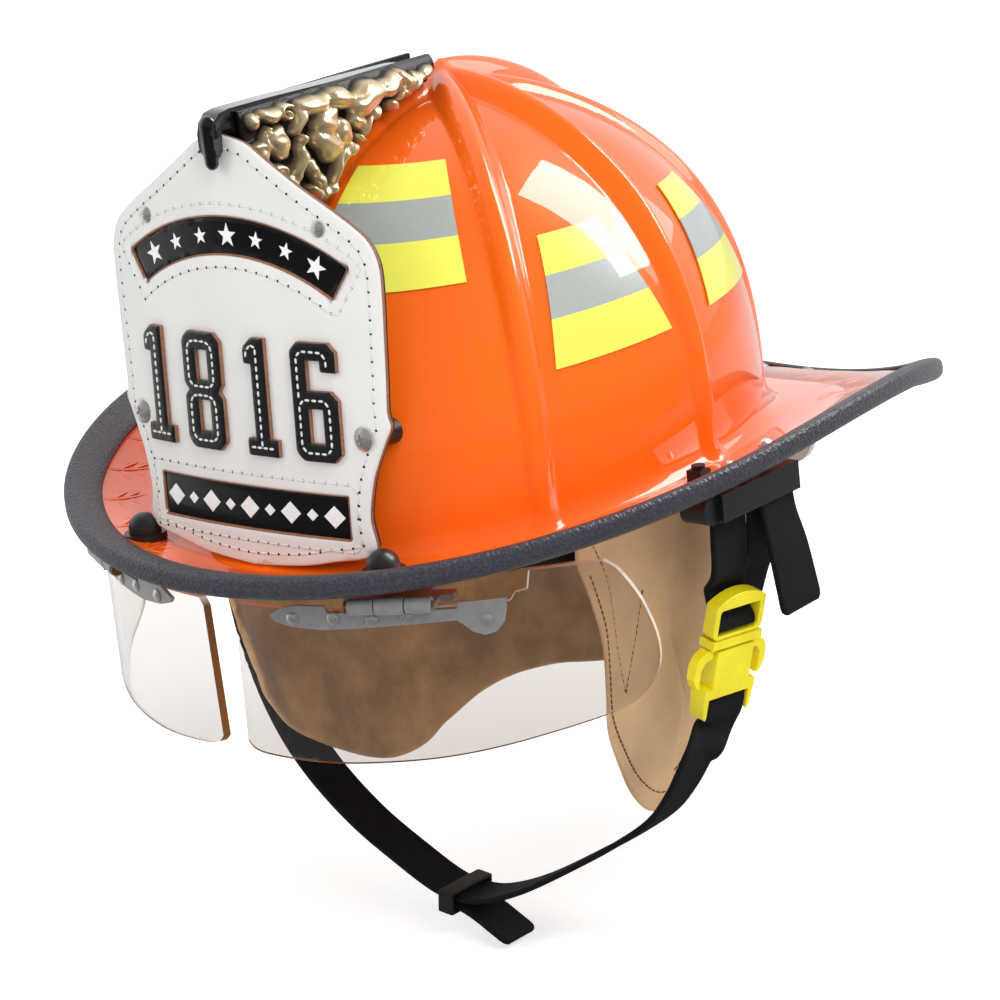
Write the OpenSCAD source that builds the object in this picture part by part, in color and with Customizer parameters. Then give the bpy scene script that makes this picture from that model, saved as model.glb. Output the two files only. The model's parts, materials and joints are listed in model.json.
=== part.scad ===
// Fire helmet: ribbed shell with wide brim, leather front, two hinged eye shields and chin strap.
// Sizes in mm. The front faces -Y, the wearer's left is +X, up is +Z, origin in the head seat.

/* [Brim edge] */
// half width of the brim over its trim
brim_half_w = 150; // [144:0.5:156]
// reach of the brim edge in front of the brim centre
brim_front = 157; // [150:0.5:165]
// reach of the brim edge behind the brim centre
brim_rear = 207.5; // [195:0.5:215]
// place of the brim centre along Y
brim_yc = 8.5; // [5:0.5:12]
// roundness of the front half of the edge, 2 is an ellipse
brim_nf = 2.0; // [1.9:0.05:2.3]
// roundness of the rear half of the edge
brim_nr = 1.9; // [1.8:0.05:2.2]
// tilt of the edge line
edge_tilt = 10.6; // [8:0.2:13]
// droop of the edge line towards both ends
edge_droop = -25; // [-28:0.5:-20]
// extra droop of the rear end
edge_rear = -12.2; // [-14:0.2:-10]
// lift of the rear tip over the rear sides
edge_lip = 9.6; // [6:0.2:12]
// how far the brim dips from its edge to the dome foot
brim_dish = 11; // [8:0.5:14]

/* [Dome] */
// half width of the dome foot
dome_half_w = 110; // [105:0.5:116]
// reach of the dome foot in front of its centre
dome_front = 107.8; // [104:0.5:114]
// reach of the dome foot behind its centre
dome_rear = 112; // [106:0.5:118]
// roundness of the dome foot, 2 is an ellipse
dome_n = 1.95; // [1.9:0.05:2.3]
// place of the dome centre along Y
dome_yc = -2.4; // [-5:0.2:0]
// height of the hub where the ribs meet
hub_h = 116.6; // [110:0.2:124]
// place of the hub along Y
hub_y = 5.7; // [0:0.1:12]
// power of the plan line of the dome wall
dome_plan = 1.14; // [1:0.01:1.3]
// power of the rise of the dome wall
dome_rise = 0.727; // [0.65:0.001:0.85]
// thickness of the moulded shell
shell_t = 2.6; // [2.2:0.1:3.2]

/* [Ribs] */
// height of the rib under the holder
rib_front_h = 3.5; // [2:0.5:5]
// height of the ribs between front and side
rib_diag_h = 5.5; // [4:0.5:8]
// height of the side ribs
rib_side_h = 6.5; // [4:0.5:8]
// height of the ribs between side and rear
rib_back_h = 3.5; // [2:0.5:5]
// height of the comb over the crown
comb_h = 8.6; // [7:0.2:11]
// half width of a rib at its foot
rib_half_w = 8.5; // [7:0.5:10]

/* [Edge trim] */
// reach of the trim over the brim
trim_reach = 10.6; // [9:0.2:13]
// half thickness of the trim
trim_half_t = 4.3; // [3.8:0.1:5]
// clearance between trim slot and shell
trim_gap = 0.35; // [0.2:0.05:0.5]

/* [Leather front] */
// height of the leather front
front_h = 149.6; // [146:0.2:153]
// radius that the leather is bowed to
front_bow = 312; // [280:2:360]
// lean of the leather front to the rear
front_lean = 3.3; // [2:0.1:5]
// place of its lower middle along Y
front_y = -115.8; // [-118:0.2:-113]
// place of its lower middle along Z
front_z = -25.8; // [-28:0.2:-24]
// thickness of the black backing board
backing_t = 1.6; // [1.2:0.1:2]
// thickness of the white face
face_t = 2.2; // [1.8:0.1:2.6]
// thickness of the stitched numerals
number_t = 2.4; // [1.6:0.1:3]
// height of the numerals
number_h = 41; // [38:0.5:44]
// pitch of the numerals
number_pitch = 25.4; // [24:0.2:27]

/* [Eye shields] */
// outer radius of the curved lens
lens_r = 139; // [136:0.5:142]
// thickness of the lens
lens_t = 2.4; // [2:0.1:3]
// turn of each shield's middle away from the front
lens_turn = 28.3; // [26:0.1:31]
// thickness of the stainless plate
plate_t = 1.2; // [1:0.1:1.6]
// reach of the hinge line in front of the lens
hinge_reach = 4; // [3.8:0.1:5]
// height of the hinge line
hinge_z = -30.4; // [-31:0.1:-30]
// diameter of the hinge pin
pin_d = 3; // [2.5:0.1:3.5]
// running gap between pin and barrel
pin_gap = 0.08; // [0.05:0.01:0.1]

/* [Suspension] */
// half width of the head band
band_half_w = 79; // [76:0.5:82]
// half length of the head band
band_half_l = 98; // [95:0.5:101]
// height of the head band
band_h = 30; // [26:1:34]
// thickness of the head band
band_t = 2.2; // [1.8:0.1:2.6]
// dip of the head band towards the nape
band_dip = 7; // [4:0.5:10]
// height of the middle of the head band
band_z = -30; // [-34:1:-26]
// radius of the crown straps
crown_r = 89.5; // [87:0.5:91]
// width of the crown straps
crown_w = 20; // [18:1:24]
// pitch radius of the ratchet pinion
pinion_r = 4; // [3.5:0.1:5]
// diameter of the ratchet knob
knob_d = 34; // [30:1:38]

/* [Chin strap] */
// width of the webbing
web_w = 19; // [18:0.5:22]
// thickness of the webbing
web_t = 2.2; // [1.8:0.1:2.6]
// place of the buckle's middle
buckle_pos = [114.2, -4.7, -80.2];
// turn of the buckle's face towards the front, in degrees
buckle_turn = 8; // [4:1:12]
// tilt of its lower end towards the chin, in degrees
buckle_tilt = 15; // [10:1:18]
// lean of its upper end to the rear, in degrees
buckle_lean = 4; // [0:1:8]
// width over the squeezed prongs
buckle_w = 35; // [34:0.5:37]
// thickness of the buckle's body
buckle_t = 7; // [6:0.2:8]

/* [Rear hanger] */
// inner radius of the hanger ring
ring_r = 9; // [8:0.5:11]
// radius of the ring's wire
ring_wire = 1.6; // [1.4:0.1:2]

/* [Hidden] */
$fn = 48;
// the trim wall stands outside the shell edge by this much
edge_inset = 2.6;
// top of the leather front in Y and Z, which the holder grips
front_top = [front_y + front_h * sin(front_lean), front_z + front_h * cos(front_lean)];

// signed power, for the rounded plan lines
function sp(v, e) = sign(v) * pow(abs(v), e);
function unit(v) = v / max(norm(v), 1e-9);
function wrap(d) = d - 360 * round(d / 360);

// height of the brim's edge line over a plan point
function rim_z(x, y) =
    let (n = (y - brim_yc) / 156, w = max(n, 0) / 1.4)
    edge_tilt * n + edge_droop * n * n + edge_rear * n * n * n
    + edge_lip * w * w * (1 - pow(min(abs(x) / brim_half_w, 1), 2));

// point of the edge line at azimuth t, moved in by inset
function rim_pt(t, inset) =
    let (c = cos(t), s = sin(t), e = s < 0 ? 2 / brim_nf : 2 / brim_nr,
        l = (s < 0 ? brim_front : brim_rear) - inset,
        x = (brim_half_w - inset) * sp(c, e), y = l * sp(s, e) + brim_yc)
    [x, y, rim_z(x, y)];

// foot of the dome at azimuth t
function foot_pt(t) =
    let (c = cos(t), s = sin(t), b = s < 0 ? dome_front : dome_rear,
        y = b * sp(s, 2 / dome_n) + dome_yc)
    [dome_half_w * sp(c, 2 / dome_n), y, rim_z(brim_half_w, y) - brim_dish];

// outward direction of the dome at a point
function dome_dir(p) =
    unit([p[0] / 12100, (p[1] - dome_yc) / 12400, max(p[2] + 22, 0) / 18800]);

// height of the ribs at azimuth t and rise angle a
rib_at = [-90, -35.5, 2, 46, 90, 134, 178, 215.5];
rib_hs = [rib_front_h, rib_diag_h, rib_side_h, rib_back_h, comb_h, rib_back_h, rib_side_h, rib_diag_h];
function rib(t, a) =
    let (g = pow(cos(a), dome_plan), k = 0.45 + 0.55 * min(1, 1.6 * sin(a)))
    max([for (i = [0:7])
        let (d = abs(wrap(t - rib_at[i])) * PI / 180 * 108 * g,
        fade = i == 0 ? min(max((a - 24) / 13, 0), 1) : 1)
        d < rib_half_w ? rib_hs[i] * k * fade * (0.5 + 0.5 * cos(180 * d / rib_half_w)) : 0]);

// dome point at azimuth t and rise angle a, moved out by off
function dome_pt(t, a, off) =
    let (f = foot_pt(t), g = pow(cos(a), dome_plan), h = pow(sin(a), dome_rise),
        p = [f[0] * g, hub_y + (f[1] - hub_y) * g, f[2] + (hub_h - f[2]) * h])
    p + dome_dir(p) * off;

// point of the brim's top face, k from 0 at the dome foot to 1 at the shell edge, lowered by drop
function brim_pt(t, k, drop) =
    let (f = foot_pt(t), r = rim_pt(t, edge_inset))
    [f[0] + (r[0] - f[0]) * k, f[1] + (r[1] - f[1]) * k,
        f[2] + (r[2] + shell_t / 2 - f[2]) * pow(max(k, 0), 1.5) - drop];
function brim_w(t) = norm([for (i = [0, 1]) rim_pt(t, edge_inset)[i] - foot_pt(t)[i]]);

// azimuths of the shell mesh: five on each rib, a few between
half_t = [-78, -70, -62.75, -55, -47.5, -40.7, -38.1, -35.5, -32.9, -30.3, -25, -16.75, -9, -3.2,
    -0.6, 2, 4.6, 7.2, 13, 24, 35, 40.8, 43.4, 46, 48.6, 51.2, 57, 68, 79];
ts = concat([-95.2, -92.6, -90, -87.4, -84.8], half_t, [84.8, 87.4, 90, 92.6, 95.2],
    [for (i = [len(half_t) - 1:-1:0]) 180 - half_t[i]]);
rise = [84, 76, 68, 60, 52, 44, 36, 28, 20, 13, 7, 3, 0];

// faces between rings of n points; ring r starts at index r * n
function ring_faces(r, n, flip) =
    [for (j = [0:n - 1]) let (k = (j + 1) % n,
        q = [r * n + j, r * n + k, (r + 1) * n + k, (r + 1) * n + j])
        each (flip ? [[q[0], q[2], q[1]], [q[0], q[3], q[2]]] : [[q[0], q[1], q[2]], [q[0], q[2], q[3]]])];

// smooth curve through points, n steps for each span
function curve(p, n) =
    concat([for (i = [0:len(p) - 2], j = [0:n - 1])
        let (a = p[max(i - 1, 0)], b = p[i], c = p[i + 1], d = p[min(i + 2, len(p) - 1)], u = j / n)
        0.5 * (2 * b + (c - a) * u + (2 * a - 5 * b + 4 * c - d) * u * u
            + (3 * b - a - 3 * c + d) * u * u * u)], [p[len(p) - 1]]);

// flat webbing along rows of [x, y, z, wx, wy, wz], with w the direction of its width
module ribbon(rows, w, t) {
    n = len(rows);
    pos = [for (r = rows) [r[0], r[1], r[2]]];
    corners = [for (i = [0:n - 1])
        let (tan = unit(pos[min(i + 1, n - 1)] - pos[max(i - 1, 0)]),
            w0 = [rows[i][3], rows[i][4], rows[i][5]], wd = unit(w0 - (w0 * tan) * tan),
            nd = cross(tan, wd))
        each [pos[i] + wd * w / 2 + nd * t / 2, pos[i] - wd * w / 2 + nd * t / 2,
            pos[i] - wd * w / 2 - nd * t / 2, pos[i] + wd * w / 2 - nd * t / 2]];
    sides = [for (r = [0:n - 2]) each ring_faces(r, 4, true)];
    polyhedron(corners, concat(sides, [[0, 1, 2], [0, 2, 3]],
        [[4 * n - 1, 4 * n - 2, 4 * n - 3], [4 * n - 1, 4 * n - 3, 4 * n - 4]]));
}

// rounded rectangle about the origin
module rrect(w, h, r) {
    square([w, h - 2 * r], center = true);
    square([w - 2 * r, h], center = true);
    for (x = [-1, 1], y = [-1, 1]) translate([x * (w / 2 - r), y * (h / 2 - r)]) circle(r);
}

// sheet of cloth or board between two grids of rows x cols points
module sheet(front, back, rows, cols) {
    n = rows * cols;
    face = [for (r = [0:rows - 2], c = [0:cols - 2]) let (i = r * cols + c)
        each [[i, i + 1, i + cols + 1], [i, i + cols + 1, i + cols]]];
    rear = [for (f = face) [f[2] + n, f[1] + n, f[0] + n]];
    rim = concat([for (c = [0:cols - 2]) c], [for (r = [0:rows - 2]) r * cols + cols - 1],
        [for (c = [cols - 1:-1:1]) (rows - 1) * cols + c], [for (r = [rows - 1:-1:1]) r * cols]);
    m = len(rim);
    edge = [for (i = [0:m - 1]) let (a = rim[i], b = rim[(i + 1) % m])
        each [[a, a + n, b + n], [a, b + n, b]]];
    polyhedron(concat(front, back), concat(face, rear, edge));
}

module outer_shell() {
    n = len(ts);
    top = concat([for (a = rise) [for (t = ts) dome_pt(t, a, rib(t, a))]],
        [for (k = [0:4]) [for (t = ts) brim_pt(t, brim_rows(t)[k], 0)]]);
    low = concat([for (a = rise) [for (t = ts) dome_pt(t, a, -shell_t) - [0, 0, a == 0 ? shell_t : 0]]],
        [for (k = [0:4]) [for (t = ts) brim_pt(t, brim_rows(t)[k], shell_t)]]);
    m = len(top);
    rings = concat([for (r = top) each r], [for (i = [m - 1:-1:0]) each low[i]]);
    apex = len(rings);
    sides = [for (r = [0:2 * m - 2]) each ring_faces(r, n, false)];
    caps = [for (j = [0:n - 1]) each [[apex, (j + 1) % n, j],
        [apex + 1, (2 * m - 1) * n + j, (2 * m - 1) * n + (j + 1) % n]]];
    color([0.93, 0.33, 0.1])
    polyhedron(concat(rings, [dome_pt(0, 90, rib(0, 90)), dome_pt(0, 90, -shell_t)]),
        concat(sides, caps));
}
function brim_rows(t) = let (w = brim_w(t)) [0.1, 0.42, 1 - 12.5 / w, 1 - 6 / w, 1];

module edge_trim() {
    r = trim_half_t;
    slot = shell_t / 2 + trim_gap;
    // reach outward from the shell edge, and height over the middle of the shell
    section = [[-trim_reach, slot], [-trim_reach - 0.4, slot + 1.4], [-trim_reach + 1.4, r - 0.3],
        [-5, r], [-0.5, r * 0.93], [1.9, r * 0.68], [2.8, r * 0.25], [2.8, -r * 0.3],
        [1.9, -r * 0.7], [-0.5, -r * 0.95], [-5, -r], [-trim_reach + 1.4, -r + 0.3],
        [-trim_reach - 0.4, -slot - 1.4], [-trim_reach, -slot], [trim_gap, -slot],
        [trim_gap, slot]];
    m = len(section);
    n = len(ts);
    pts = [for (t = ts) let (w = brim_w(t)) each [for (q = section)
        brim_pt(t, 1 + q[0] / w, shell_t / 2 - q[1])]];
    faces = [for (j = [0:n - 1], i = [0:m - 1]) let (a = j * m, b = ((j + 1) % n) * m, k = (i + 1) % m)
        each [[a + i, b + k, b + i], [a + i, a + k, b + k]]];
    color([0.16, 0.17, 0.19]) polyhedron(pts, faces);
}

// frame of the leather front: origin at its lower middle, front towards -Y
module on_front() {
    translate([0, front_y, front_z]) rotate([-front_lean, 0, 0]) children();
}
// curved slab between two depths behind the front skin of the face
module front_slab(d1, d2) {
    translate([0, front_bow, -8]) difference() {
        cylinder(r = front_bow - d1, h = front_h + 20, $fn = 200);
        translate([0, 0, -1]) cylinder(r = front_bow - d2, h = front_h + 22, $fn = 200);
    }
}
module front_cut(d1, d2) {
    intersection() {
        front_slab(d1, d2);
        translate([0, 30, 0]) rotate([90, 0, 0]) linear_extrude(50) children();
    }
}
// outline of the leather: upper points as depth under the top, lower points as height
shield_top = [[0, 0.6], [11, 3.1], [19, 8.1], [33, 17.1], [44, 23.6], [54, 30.1], [59.5, 35.1],
    [62.5, 42.1], [63, 51.6], [62.5, 68.6]];
shield_low = [[62, 66], [61.6, 57], [62.6, 52.3], [60.4, 47.5], [57, 40], [54.2, 32.5], [52, 20],
    [52.9, 8], [36, 3.8], [21, 1], [0, -0.6]];
shield = concat([for (p = shield_top) [p[0], front_h - p[1]]], shield_low);
module shield_2d(k) {
    right = [for (p = shield) [p[0] * k, (p[1] - 70) * (k + 0.002) + 70]];
    left = [for (i = [len(shield) - 2:-1:1]) [-right[i][0], right[i][1]]];
    polygon(concat(right, left));
}
screw_at = [52.2, 48];
rivet_at = [40.3, front_h - 31];
module front_holes(r) {
    for (s = [-1, 1], h = [[screw_at, r], [rivet_at, 1.6]])
        translate([s * h[0][0], 40, h[0][1]]) rotate([90, 0, 0]) cylinder(r = h[1], h = 60);
}
arc_c = front_h - 122.4;
arc_r1 = 80.6;
arc_r2 = 93.6;
arc_half = 33;
module arc_2d(g) {
    intersection() {
        translate([0, arc_c]) difference() {
            circle(arc_r2 - g, $fn = 160);
            circle(arc_r1 + g, $fn = 160);
        }
        translate([0, arc_c + g / sin(arc_half)]) polygon([[0, 0], [200 * sin(arc_half), 200 * cos(arc_half)],
            [0, 260], [-200 * sin(arc_half), 200 * cos(arc_half)]]);
    }
}
low_box = [88, 15.2];
low_at = [0, 20];

module leather_backing() {
    color([0.07, 0.07, 0.07]) on_front() difference() {
        front_cut(face_t, face_t + backing_t) shield_2d(1);
        front_holes(2.2);
    }
}
module leather_face() {
    color([0.9, 0.9, 0.88]) on_front() difference() {
        front_cut(0, face_t) difference() {
            shield_2d(0.988);
            arc_2d(0);
            translate(low_at) square(low_box, center = true);
        }
        front_holes(2.2);
    }
}
module upper_inlay() {
    color([0.05, 0.05, 0.05]) on_front() front_cut(face_t - 1.6, face_t - 0.2) arc_2d(0.3);
}
module lower_inlay() {
    color([0.05, 0.05, 0.05]) on_front() front_cut(face_t - 1.6, face_t - 0.2)
        translate(low_at) square(low_box - [0.6, 0.6], center = true);
}

// block numerals in a box of 18.5 x 41
module one_2d() {
    translate([3.9, 0]) polygon([[0, 0], [13.4, 0], [13.4, 6], [10, 6], [10, 41], [4.4, 41], [0.6, 37.6],
        [0.6, 31.8], [3.8, 31.8], [3.8, 6], [0, 6]]);
}
module six_2d() {
    difference() {
        polygon([[3, 0], [15.5, 0], [18.5, 3], [18.5, 21.4], [15.5, 24.4], [6.2, 24.4], [6.2, 34.8],
            [12.3, 34.8], [12.3, 31], [18.5, 31], [18.5, 38], [15.5, 41], [3, 41], [0, 38], [0, 3]]);
        translate([6.2, 6.2]) square([6.1, 12]);
    }
}
module eight_2d() {
    difference() {
        polygon([[3, 0], [15.5, 0], [18.5, 3], [18.5, 18], [16.6, 20.5], [18.5, 23], [18.5, 38],
            [15.5, 41], [3, 41], [0, 38], [0, 23], [1.9, 20.5], [0, 18], [0, 3]]);
        translate([6.2, 6.2]) square([6.1, 11]);
        translate([6.2, 24]) square([6.1, 10.8]);
    }
}
// place i counts from 0 at the wearer's right
module numeral(i) {
    color([0.06, 0.06, 0.06]) on_front() front_cut(-number_t, 0)
        translate([-3 + (i - 1.5) * number_pitch - 9.25 * number_h / 41, 39.3]) scale(number_h / 41)
        children();
}
module number_1() {
    numeral(0) one_2d();
}
module number_2() {
    numeral(1) eight_2d();
}
module number_3() {
    numeral(2) one_2d();
}
module number_4() {
    numeral(3) six_2d();
}

// depth of the front skin at x, from the bow
function bow(x) = front_bow - sqrt(front_bow * front_bow - x * x);
module front_rivets() {
    color([0.75, 0.75, 0.75]) on_front() for (s = [-1, 1])
        translate([s * rivet_at[0], bow(rivet_at[0]), rivet_at[1]]) rotate([90, 0, 0]) {
            translate([0, 0, 0.15]) rotate_extrude() intersection() {
                translate([0, -2.7]) circle(4);
                square([2.9, 3]);
            }
            translate([0, 0, -face_t - backing_t - 1]) cylinder(r = 1.5, h = face_t + backing_t + 2);
            translate([0, 0, -face_t - backing_t - 2]) cylinder(r = 3.2, h = 1.6);
        }
}
module front_screws() {
    color([0.8, 0.8, 0.82]) on_front() for (s = [-1, 1])
        translate([s * screw_at[0], bow(screw_at[0]), screw_at[1]]) rotate([90, 0, 0]) difference() {
            union() {
                translate([0, 0, 0.35]) rotate_extrude() intersection() {
                    translate([0, -5.4]) circle(7);
                    square([4.2, 3]);
                }
                translate([0, 0, -16.6]) cylinder(r = 2.1, h = 17.6);
            }
            for (a = [0, 90]) rotate(a + 20) translate([-2.1, -0.45, 1.1]) cube([4.2, 0.9, 3]);
        }
}
module front_spacers() {
    color([0.1, 0.1, 0.1]) on_front() for (s = [-1, 1])
        translate([s * screw_at[0], bow(screw_at[0]) + face_t + backing_t + 1.5, screw_at[1]])
        rotate([-90, 0, 0]) difference() {
            cylinder(r = 4.4, h = 9.6);
            translate([0, 0, -1]) cylinder(r = 2.25, h = 15);
        }
}

// the holder's side view in Y and Z; its underside follows the front rib
module front_holder() {
    under = [for (a = [36, 42, 48, 54, 60, 66, 72, 78, 83])
        let (p = dome_pt(-90, a, rib(-90, a) + 0.4)) [p[1], p[2]]];
    // the hook grips the top of the leather, so its points are counted from there
    hook = [[3.2, 7.4], [-1.6, 6.6], [-4.6, 4], [-5.8, 0], [-5.6, -6], [-3.6, -8], [-1.8, -6],
        [-1, 3], [4.2, 3], [5, -11.6]];
    back = concat([[-3.2, 122], [-3.4, 126], [-8, 128.4], [-20, 129], [-56, 129.6], [-84, 130.6]],
        [for (p = hook) front_top + p], [[-97, 97.5], [-86, 92.5]]);
    color([0.05, 0.05, 0.05]) {
        rotate([90, 0, 90]) translate([0, 0, -3.6]) linear_extrude(7.2) polygon(concat(under, back));
        // round drop at the end of the hook, in front of the leather
        translate([0, front_top[0], front_top[1]]) hull() {
            translate([0, -3.8, 2.6]) scale([1, 0.66, 1]) sphere(3.7, $fn = 24);
            translate([0, -4.1, -9.4]) scale([1, 0.8, 1.1]) sphere(2.7, $fn = 24);
        }
    }
}
// half relief: bulge over a grid that runs from the hook to the crown
module crest_relief() {
    rows = 23;
    cols = 8;
    function low_z(y) = y < -72 ? 90.5 + (-72 - y) * 0.22 :
        let (a = 43 + (y + 72) / 68 * 38) dome_pt(-90, a, 0)[2] + max(6.2, rib(-90, a) + 3.4);
    function bulge(u, v) = 0.9 + 12.6 * pow(sin(180 * min(max(v, 0.02), 0.98)), 0.7)
        * (0.45 + 0.55 * pow(sin(180 * (0.06 + 0.88 * u)), 0.6)) * (0.82 + 0.18 * cos(1080 * u + 200 * v));
    pts = [for (i = [0:rows - 1], j = [0:cols - 1])
        let (u = i / (rows - 1), v = j / (cols - 1), y = -101.6 + 97.4 * u, zl = low_z(y),
            zh = 127 + 1.4 * sin(180 * u)) [bulge(u, v), y, zl + (zh - zl) * v]];
    color([0.7, 0.55, 0.3]) for (s = [-1, 1]) {
        front = [for (p = pts) [s * (3.7 + p[0]), p[1], p[2]]];
        back = [for (p = pts) [s * 3.7, p[1], p[2]]];
        if (s > 0) sheet(back, front, rows, cols);
        else sheet(front, back, rows, cols);
    }
}

// four-sided sheet on the dome: azimuths of its top and bottom edge, rise angles of both
module reflector(t0, t1, b0, b1, a_top, a_low) {
    rows = 5;
    cols = 7;
    function pts(off) = [for (i = [0:rows - 1], j = [0:cols - 1])
        let (v = i / (rows - 1), u = j / (cols - 1), l = b0 + (t0 - b0) * v, r = b1 + (t1 - b1) * v)
        dome_pt(l + (r - l) * u, a_low + (a_top - a_low) * v, off)];
    sheet(pts(0.5), pts(0.9), rows, cols);
}
module both_sides() {
    children();
    mirror([1, 0, 0]) children();
}
module reflective_front() {
    color([0.85, 0.95, 0.2]) both_sides() reflector(-79, -46.5, -80.5, -44.5, 57, 32);
}
module reflective_side() {
    color([0.85, 0.95, 0.2]) both_sides() reflector(-27, -11, -30, -3.2, 37.4, 16);
}
module reflective_rear() {
    color([0.85, 0.95, 0.2]) both_sides() reflector(17, 31, 10.5, 37.5, 38.5, 16.3);
}
module reflective_back() {
    color([0.85, 0.95, 0.2]) both_sides() reflector(61, 75, 55, 81, 38.5, 16.3);
}

knob_at = brim_pt(-62.9, 0.43, 0);
// point of the brim's top at azimuth t, as a share of the way from the dome foot to the trim
function brim_mid(t, share) = brim_pt(t, share * (1 - trim_reach / brim_w(t)), 0);
module brim_knobs() {
    color([0.08, 0.08, 0.08]) for (s = [-1, 1]) translate([s * knob_at[0], knob_at[1], knob_at[2] - 0.6]) {
        cylinder(r = 7.6, h = 2.6);
        translate([0, 0, 2.6]) rotate_extrude() {
            square([5.8, 2.2]);
            intersection() {
                translate([0, 1.2]) circle(5.8);
                square([6, 8]);
            }
        }
        translate([0, 0, -4.2]) cylinder(r = 2.2, h = 6);
    }
}
bolt_at = [brim_mid(-5, 0.6), brim_mid(5.4, 0.53)];
nut_at = brim_mid(-10.6, 0.54);
// inner end of the strap anchors, under the brim
anchor_x = bolt_at[0][0] - 7.5;
module anchor_bolts() {
    color([0.8, 0.8, 0.82]) for (s = [-1, 1], b = bolt_at) translate([s * b[0], b[1], b[2] + 0.3]) {
        rotate_extrude() intersection() {
            translate([0, -0.9]) circle(3.3);
            square([3.1, 3]);
        }
        translate([0, 0, -9.8]) cylinder(r = 2.2, h = 10.8);
    }
}
module anchor_nuts() {
    color([0.15, 0.12, 0.12]) for (s = [-1, 1]) translate([s * nut_at[0], nut_at[1], nut_at[2]]) {
        translate([-3, -3, 0]) cube([6, 6, 4.6]);
        translate([0, 0, -4.6]) cylinder(r = 2.4, h = 10.8);
    }
}

// frame of the left eye shield: X along the hinge line, -Y outward, origin over the lens centre
lens_c = [0, 4];
module on_lens() {
    translate([lens_c[0], lens_c[1], 0]) rotate(lens_turn) children();
}
// slice of a tube between two radii, cut by an outline in the X-Z view
module lens_cut(r1, r2) {
    intersection() {
        translate([0, 0, -100]) difference() {
            cylinder(r = r2, h = 90, $fn = 180);
            translate([0, 0, -1]) cylinder(r = r1, h = 92, $fn = 180);
        }
        translate([0, 0, 0]) rotate([90, 0, 0]) linear_extrude(160) children();
    }
}
// points of the lens outline, hinge line at X = 0
lens_low = [[-60.5, -83.2], [-57.4, -86], [-49.9, -87.2], [-28.9, -88.1], [-3.9, -87.2], [13.6, -86],
    [30.8, -83.9], [47.6, -81.2], [61.1, -79], [70.1, -77.2], [75.6, -74.6], [79.7, -70.8], [82.1, -66],
    [83, -60.5], [82.4, -53.5], [80.7, -46.5], [78.5, -39.8], [75.5, -33.4], [72.3, -28], [68.5, -24.4]];
lens_top = [[45.3, -23.6], [44.1, -30], [40.1, -30.6], [38.5, -33.2], [-57.5, -33.2], [-59.1, -36]];
module lens_shape() {
    color([0.85, 0.82, 0.75, 0.5]) difference() {
        lens_cut(lens_r - lens_t, lens_r) polygon(concat(lens_low, lens_top));
        for (p = rivets) at_rivet(p) cylinder(r = 1.45, h = 20, center = true);
    }
}
rivets = [[-36.3, -36.2], [-21.3, -35.6], [-7.5, -36.4], [4.3, -35.8], [31.1, -38.4]];
// seat of a rivet on the plate's outer face, Z outward
module at_rivet(p) {
    r = lens_r + 0.1 + plate_t;
    translate([p[0], -sqrt(r * r - p[0] * p[0]), p[1]]) rotate([90, 0, asin(p[0] / r)]) children();
}
hinge_y = -lens_r - hinge_reach;
knuckle = 3;
module lens_plate() {
    color([0.6, 0.6, 0.62]) {
        difference() {
            lens_cut(lens_r + 0.1, lens_r + 0.1 + plate_t)
                polygon([[-44.9, -35.6], [-43.5, -37.4], [-37.9, -39], [-25.9, -39.8], [1.7, -38.2],
                    [20.8, -37.6], [23.3, -39.4], [25.9, -42], [29.7, -43.6], [33.7, -42.8], [36.3, -39.8],
                    [37.5, -35], [37.9, -31.4], [22, -31.4], [21.5, -33.6], [5.2, -33.6], [5.2, -30.4],
                    [-5.2, -30.4], [-5.2, -33.6], [-23.4, -33.6], [-24, -31.4], [-34.9, -31.4],
                    [-39.9, -32.6]]);
            for (p = rivets) at_rivet(p) cylinder(r = 1.45, h = 20, center = true);
        }
        difference() {
            union() {
                translate([-5, hinge_y, hinge_z]) rotate([0, 90, 0]) cylinder(r = knuckle, h = 10);
                translate([-5, -lens_r - 2.6, -33.4]) cube([10, 2.2, 3.8]);
            }
            translate([-8, hinge_y, hinge_z]) rotate([0, 90, 0]) cylinder(r = pin_d / 2 + pin_gap, h = 16);
            translate([0, 0, -100]) cylinder(r = lens_r + 0.2, h = 90, $fn = 180);
        }
    }
}
module lens_rivets() {
    color([0.8, 0.8, 0.82]) for (p = rivets) at_rivet(p) {
        translate([0, 0, 0.05]) rotate_extrude() intersection() {
            translate([0, -2.6]) circle(3.7);
            square([2.3, 2]);
        }
        translate([0, 0, -plate_t - lens_t - 0.6]) cylinder(r = 1.2, h = plate_t + lens_t + 0.8);
        translate([0, 0, -plate_t - lens_t - 0.9]) cylinder(r = 2, h = 0.7);
    }
}
module lens_bracket() {
    color([0.3, 0.3, 0.32]) difference() {
        union() {
            translate([-14.4, hinge_y + 5.6, hinge_z - 2.6]) cube([28.8, 6, 2]);
            translate([-19, hinge_y + 11.5, hinge_z - 2.6]) cube([38, 6.5, 2]);
            translate([-10, hinge_y + 16, hinge_z - 2.6]) cube([20, max(9, -134 - hinge_y), 2]);
            for (x = [-14.4, 5.4]) {
                translate([x, hinge_y, hinge_z]) rotate([0, 90, 0]) cylinder(r = knuckle - 0.2, h = 9);
                translate([x, hinge_y + 2, hinge_z - 2.6]) cube([9, 5, 2]);
            }
        }
        translate([-20, hinge_y, hinge_z]) rotate([0, 90, 0]) cylinder(r = pin_d / 2, h = 40);
        translate([-40, -lens_r - 8, -60]) cube([25.1, 8, 60]);
        translate([14.9, -lens_r - 8, -60]) cube([40, 8, 60]);
        translate([-5.3, -lens_r - 8, -60]) cube([10.6, 9, 60]);
    }
}
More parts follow.
